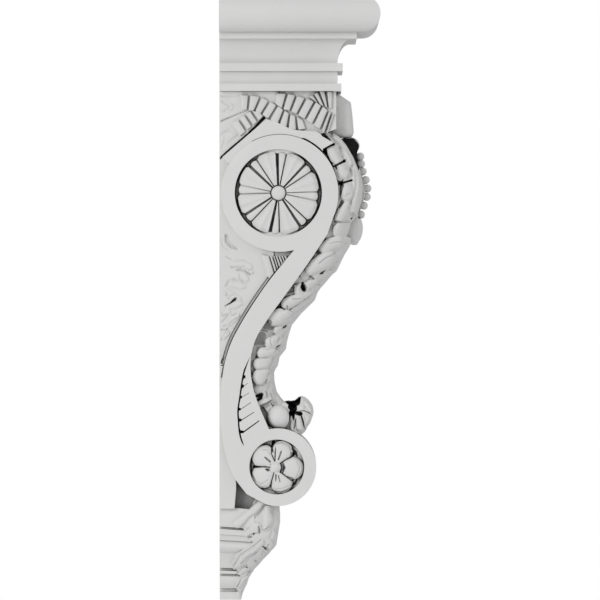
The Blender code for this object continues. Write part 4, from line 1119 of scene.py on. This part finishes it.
pearls = {
    "radius": 4.5, "filletHalfWidth": 8.5,
    # painted shade: black in the hollow between the rim and the pearls
    "paintedShade": [
        (1, [(136.4, 178.7, 2.5), (145.2, 175.7, 5.6), (149.7, 172.2, 4.8), (148.4, 165.6, 4.2)]),
        (1, [(142.6, 171.4, 4.2), (148.1, 165.1, 5), (151, 158.4, 4), (153.1, 151.6, 3.1),
            (153.9, 146.9, 1)]),
    ],
    "places": [(155.6, 160.7), (156.4, 152.6), (158.2, 144.1), (161.6, 134.7), (163.5, 125.3), (162.8, 116),
        (159.5, 106.2), (156.3, 96.2)],
    "high": [(130.1, 178.7), (136.4, 181.2), (142.6, 182.2), (148.1, 181.6), (152.5, 178.7), (154.9, 174),
        (154.3, 169.3), (152.2, 165.1), (153.5, 158.9), (154.3, 152.6), (156.2, 143.2), (159.5, 134.7),
        (161.4, 125.3), (160.6, 116), (157.4, 106.2), (154.1, 96.2), (152.5, 89.1)],
    "low": [(122.8, 173.5), (126, 169.3), (130.1, 165.1), (133.3, 159.9), (136.4, 154.7), (138.5, 149.5),
        (140, 144.3), (141.1, 137), (141.6, 126.6), (141.1, 116.2), (140, 105.7), (138.5, 97.4),
        (136.9, 89.1)],
    "carving": {
        "cuts": [
            (7.5, [(138.5, 178.1, 2.3), (145.8, 176.1, 5.2), (149.4, 172.2, 4.4), (148.4, 166.2, 3.5)]),
            (7.5, [(142.6, 172.4, 3.1), (148.4, 166.2, 3.8), (151, 158.4, 3.1), (152.5, 151.6, 2.7),
                (153.5, 147.4, 1.5)]),
        ],
        "softCuts": [
            (2, [(157.2, 141.2, 2.1), (158.8, 126.6, 2.3), (157.2, 111, 2.1), (153.1, 97.4, 1.7)]),
        ],
    },
}


def pearlString():
    places = pearls["places"]
    nothingSelected()
    bpy.ops.mesh.primitive_uv_sphere_add(segments=24, ring_count=14, radius=pearls["radius"] * mm,
                                         location=spot(0, *places[0]))
    pearl = bpy.context.object
    pearl.name = "pearls"
    bpy.ops.object.transform_apply(location=True)
    for (out, up), (nextOut, nextUp) in zip(places, places[1:]):
        bpy.ops.object.mode_set(mode="EDIT")
        bpy.ops.mesh.duplicate_move(TRANSFORM_OT_translate={"value": spot(0, nextOut - out, nextUp - up)})
        bpy.ops.object.mode_set(mode="OBJECT")
    finished(pearl)


def pearlWall():                                      # the web that the pearls stand on
    high, low = Track(smoothLine(pearls["high"], 4)), Track(smoothLine(pearls["low"], 4))
    carve = carver(pearls["carving"])
    sideColumns, columns, topShare = 44, 56, 0.96
    foot, head = pearls["filletHalfWidth"], pearls["filletHalfWidth"] - 3

    def place(along, across):                         # up the wall's side, then over its rounded top
        column = round(across * columns)
        top, bottom = high.at(1 - along), low.at(1 - along)
        if column == 0:
            return 0.0, *bottom
        if column <= sideColumns:
            share = (column - 1) / (sideColumns - 1)
            out, up = mix(bottom, top, topShare * share)
            return max(0.8, foot - 3 * share ** 6 + carve(out, up)), out, up
        turn = math.pi / 2 * (column - sideColumns) / (columns - sideColumns)
        out, up = mix(bottom, top, topShare + (1 - topShare) * math.sin(turn))
        x = head * math.cos(turn) if column < columns else 0.0
        return x + min(0.0, carve(*mix(bottom, top, topShare))) * math.cos(turn) * 0.5, out, up

    carvedSheet("pearl_fillet", 190, columns, place, paintedShade=pearls["paintedShade"])


pearlString()
pearlWall()
print("upper leaf and pearls made")


# hood under the cap, and the tongue under the pearls

hood = {
    "halfWidth": 37, "middle": (118, 208), "flutePitch": 14.5, "fluteDepth": 2.6,
    "outline": [(108, 232), (125, 231), (133, 228.4), (144.4, 220.6), (145.2, 219), (146.8, 206),
        (147.6, 196), (148.2, 188.5), (147.4, 184), (145, 182.4), (134, 181.6), (108, 181)],
}
tongue = {
    "halfWidth": 17,
    "outline": [(128, 92), (146, 94), (155, 92), (158, 86.5), (158.3, 78), (156.6, 71), (154.4, 67),
        (151, 62.5), (143, 63.5), (134, 66.5), (126, 74)],
    "flutePitch": 11, "fluteDepth": 1.4, "middle": (143, 76),
}


def flute(x, pitch):                                  # 0 on each ridge, 1 in the crease between two
    return 1 - abs(math.cos(math.pi * x / pitch)) ** 0.6


def roundedLoft(name, form, flat):                    # an outline swept from side to side, with rounded ends
    outline, middle = form["outline"], form["middle"]
    loop = Track(smoothLine(outline + [outline[0]], 8))
    turns = [math.pi / 2 * (0.5 - 0.5 * math.cos(math.pi * i / 200)) for i in range(201)]
    section = Track([(form["halfWidth"] * math.sin(turn) ** flat, 30 * math.cos(turn) ** flat)
                     for turn in turns])

    def place(along, across):
        x, size = section.at(across)
        size = size / 30 if across < 0.999 else 0.0
        out, up = loop.at(along)
        size *= 1 - form["fluteDepth"] * flute(x, form["flutePitch"]) / math.dist((out, up), middle)
        out, up = mix(middle, (out, up), size)
        return (0.0 if across < 0.001 else x), out, up

    carvedSheet(name, 110, 60, place, closeEnds=False)


roundedLoft("hood", hood, 0.36)
roundedLoft("tongue", tongue, 0.6)
print("hood and tongue made")


# curl: the tip of the leaf turned over, folds fanned round a deep hollow

curl = {
    # painted shade: black in the curl's hollow and between its folds
    "paintedShade": [
        (1, [(69, -106.7, 1.6), (75.4, -111.9, 2.1), (81.7, -113.5, 4), (85.7, -111.5, 3.5),
            (88.4, -106.7, 1.7)]),
        (1, [(76.9, -117.4, 1.9), (81.7, -119, 4.1), (79.7, -123.4, 3.5)]),
        (1, [(84.9, -123.2, 1.1), (89.2, -123.9, 2.1)]),
        (1, [(80.9, -124.6, 2.4), (81.7, -130.1, 0.8)]),
        (1, [(77.1, -125.4, 1.1), (76.2, -130.9, 0.9), (74.4, -135, 0.8)]),
    ],
    "halfWidth": 41, "centre": (80.5, -119.5), "rings": 78, "spokes": 220, "flutePitch": 13,
    "fluteDepth": 2.6,
    "reach": [(100, 9), (77, 9.6), (63, 14.8), (55, 17.6), (42.5, 19.1), (25, 20.7), (6.6, 22.6),
        (-8, 23.5), (-23.5, 23.6), (-47, 25.2), (-64, 28.8), (-90, 33), (-130, 30), (-165, 22), (-200, 16),
        (-235, 11), (-260, 9)],
    "carving": {
        "lobes": [
            (0, 2.5, [(92, -111.1, 2.1), (97.5, -115.1, 3.2), (100.7, -120.6, 2.9)]),
            (0, 2.5, [(94.4, -125.4, 1.6), (97.5, -129.3, 3.5), (98.3, -134.9, 3.2)]),
            (0, 2.5, [(85.7, -127, 1.6), (87.2, -133.3, 3.2), (88, -139.6, 3.6)]),
            (0, 2, [(79.7, -131.7, 0.8), (79.3, -137.3, 2.1), (80.1, -141.2, 2.4)]),
        ],
        "cuts": [
            (26, [(69.8, -107.1, 0.6), (75.4, -111.9, 1.9), (81.7, -113.9, 3.8), (85.7, -111.9, 3.5),
                (88.8, -106.3, 1.3)]),
            (26, [(78.5, -115.9, 3.2), (81.7, -118.2, 4), (79.3, -123.4, 3.2)]),
            (20, [(84.1, -123.4, 1.9), (89.2, -124.2, 2.4)]),
            (14, [(80.9, -124.6, 2.4), (81.7, -129.3, 1.1), (81.9, -131.3, 0.4)]),
            (12, [(77.6, -125.4, 1.3), (76.5, -130.9, 1.1), (74.4, -135, 1)]),
            (6, [(89.6, -124.6, 1), (92, -132.5, 1), (94, -142, 0.7)]),
            (4, [(84.5, -121.6, 0.5), (92.8, -120.8, 0.6), (98.3, -122.6, 0.6), (101.7, -126.3, 0.6)]),
        ],
        "softCuts": [
            (1, [(92.8, -109.5, 1.1), (94.4, -115.9, 1.9), (93.6, -120.6, 1.3)]),
            (2, [(84.1, -130.1, 0.8), (83.3, -137.3, 1.1), (81.7, -141.2, 0.8)]),
        ],
    },
}


def curlRoll():
    carve = carver(curl["carving"])
    sideShare, rimShare = 0.56, 0.86                  # of the sheet, and of the reach

    def place(along, across):
        degrees = 100 - 360 * along
        radius, turn = readOff(curl["reach"], degrees, 0.5), math.radians(degrees)
        if across <= sideShare:
            part = across / sideShare
            share = part * rimShare
            x = curl["halfWidth"] - 2.5 * part ** 3
        else:
            part = (across - sideShare) / (1 - sideShare)
            share = rimShare + (1 - rimShare) * math.sin(math.pi / 2 * min(1, part * 2.4))
            x = mix(curl["halfWidth"] - 2.5, 0, part)
            share -= curl["fluteDepth"] / radius * flute(x, curl["flutePitch"]) * ease(part * 4)
        out = curl["centre"][0] + radius * share * math.cos(turn)
        up = curl["centre"][1] + radius * share * math.sin(turn)
        x += carve(out, up) * (1 - ease((across - sideShare) / 0.16))
        return (0.0 if across > 0.999 else max(x, 0.3)), out, up

    carvedSheet("curl", curl["spokes"], curl["rings"], place, closeEnds=False, paintedShade=curl["paintedShade"])


curlRoll()

curlLobe = {"centre": (64.4, -128.4), "radii": (12.4, 13.9), "x": 46, "thickness": 11}


def curlLobes():
    nothingSelected()
    bpy.ops.mesh.primitive_uv_sphere_add(segments=40, ring_count=24, radius=mm)
    piece = bpy.context.object
    piece.name = "curl_lobes"
    piece.scale = (curlLobe["thickness"], *curlLobe["radii"])
    piece.location = spot(curlLobe["x"], *curlLobe["centre"])
    bpy.ops.object.transform_apply(location=True, rotation=True, scale=True)
    bothSides(piece)
    finished(piece)


curlLobes()
print("curl made")


# neck behind the lower volute, and the stepped base

neck = {
    "halfWidth": 38,
    "outline": [(1, -152), (42, -152), (64, -182), (58, -232), (50, -240), (1, -240)],
}
throughPlate("neck", neck["outline"], neck["halfWidth"])

base = {
    "top": -226, "foot": -330, "out": 38, "halfWidth": 54, "droop": 3.5, "frontShare": 0.55,
    # (height, set-in at its top, set-in at its foot, bulge)
    "bands": [(22, 0, 1, 1.2), (2.7, 5, 5, 0), (6, 1.5, 1.5, 0), (6.5, 4, 4.5, 0), (13.2, 6, 7, 4.5),
        (17.8, 9, 16.5, 0), (3.2, 20.5, 20.5, 0), (3.2, 16.5, 16.5, 0), (2.7, 20, 20, 0),
        (13.7, 17.5, 23, 2), (4, 27.5, 27.5, 0)],
    "footSetIn": 25,
}


def baseBlock():
    level = base["top"]
    profile = []
    for height, topSetIn, footSetIn, bulge in base["bands"]:
        steps = 10 if bulge else 1
        for i in range(steps + 1):
            swell = bulge * math.sin(math.pi * i / steps) if bulge else 0
            profile.append((-mix(topSetIn, footSetIn, i / steps) + swell, level - height * i / steps))
        level -= height
    profile += [(-base["footSetIn"], level), (-base["footSetIn"] - 0.6, base["foot"])]
    piece = steppedBlock("base_moulding", profile, base["halfWidth"], base["out"], 0.5, base["frontShare"])
    for vertex in piece.data.vertices:                # the bands droop a little towards the front
        outShare = -vertex.co.y / (base["out"] * mm)
        upShare = (vertex.co.z / mm - base["foot"]) / (base["top"] - base["foot"])
        vertex.co.z -= base["droop"] * mm * outShare * upShare
    finished(piece, 21)


baseBlock()

baseLeaf = {
    "rows": 220, "columns": 76, "fullness": 0.5,
    # (up, half width), to stand a little off the moulding's steps
    "widths": [(-200, 55.5), (-250, 55), (-262, 53.5), (-277, 52.5), (-294, 44), (-300, 39.5), (-309, 39),
        (-321, 34.5), (-331, 29.5)],
    "veinFall": -0.55, "veinDepth": 2.4,
    "veins": [-200, -214, -229, -245, -258, -272, -283, -296, -306, -318, -332, -350],
    "foot": [(40.4, -216.4), (33.9, -227.7), (24.2, -235.7), (15.4, -245.4), (21.8, -255.9), (21.8, -268.8),
        (16.2, -282.5), (13.7, -293), (18.6, -302.7), (17, -312.3), (19.4, -320.4), (20.2, -330.1)],
    "crest": [(64.6, -217.2), (66.6, -233.7), (66.7, -244.4), (64.4, -258.3), (62.8, -269), (59.4, -274),
        (51.7, -281.9), (43.3, -291.1), (39, -296.1), (32.5, -305.6), (30, -313.1), (25.4, -322.7),
        (23.8, -330.1)],
    "carving": {
        "floor": -6, "slope": 6, "grow": 0.6,
        "body": (0, [(43.6, -212.3), (42.8, -222), (38.8, -234.1), (29.9, -241.4), (27.1, -249.4),
            (30.7, -260.7), (40.4, -265.6), (33.9, -274.4), (22.6, -281.7), (15.8, -292.2), (21.8, -297),
            (27.5, -291.4), (30.7, -294.2), (19.4, -299.4), (25, -303.5), (22.2, -309.1), (18.6, -315.6),
            (22.6, -320.4), (21.8, -331.7)]),
        "lobes": [
            (1.5, 2, [(45.2, -223.6, 3.7), (37.9, -231.7, 4.5), (29.1, -238.6, 5.2), (20.2, -244.2, 4.7)]),
            (1, 2.4, [(33.1, -252.7, 4.8), (40.4, -249.4, 5.6)]),
            (1.5, 2.2, [(45.2, -265.6, 3.7), (35.5, -273.6, 4.8), (25.8, -281.7, 5.6), (20.2, -289.8, 4.7)]),
            (1, 2, [(24.2, -298.2, 3.2), (29.9, -296.2, 3.2)]),
            (1, 2, [(29.1, -303.5, 2.4), (24.2, -309.1, 3.7), (21.8, -313.2, 3.2)]),
            (1, 3, [(53.3, -227.7, 4), (54.1, -239.8, 4.8), (51.7, -249.4, 3.2)]),
        ],
        "cuts": [
            (9, [(29.7, -261.5, 1), (33.9, -259.1, 1.8), (37.8, -255.7, 1)]),
            (5, [(42.9, -247.8, 0.6), (43.8, -252.7, 1.1), (44.4, -255.9, 0.6)]),
            (4, [(48.8, -252.8, 0.5), (51.7, -250.2, 0.6), (53.7, -248.3, 0.4)]),
            (4, [(41.6, -286.9, 1), (42.1, -287.1, 1)]),
            (4, [(29.9, -293.6, 1), (30.7, -294, 1)]),
        ],
        "softCuts": [
            (3.3, [(26.7, -247.8, 2.2), (33.1, -239.8, 3.1), (43.6, -233.3, 3.6), (48.4, -225.2, 1.9)]),
            (3.3, [(45.2, -263.1, 1.7), (36.3, -271.2, 2.4), (22.6, -280.9, 2.7), (15.8, -292.2, 1.7)]),
            (2.7, [(40.4, -276.9, 1.7), (31.5, -282.5, 2.4), (24.2, -289, 1.7)]),
            (3, [(54.9, -268.8, 1.9), (50.8, -276.1, 3.1), (46.8, -280.1, 1.9)]),
            (2.4, [(59.7, -226, 1.7), (61.3, -243.8, 2.7), (57.3, -259.9, 2.4)]),
            (2.4, [(33.9, -247.8, 1.5), (29.9, -252.7, 2.2), (27.5, -257.5, 1.5)]),
            (2.7, [(30.7, -291.4, 1.2), (25, -295.4, 1.9), (19.4, -300.2, 1.2)]),
            (2.7, [(30.7, -301.9, 1.2), (24.2, -305.9, 1.7), (19.4, -314.8, 1.2)]),
        ],
    },
    "tuck": 3,
}


leafSheet("base_leaf", baseLeaf)
print("base made")
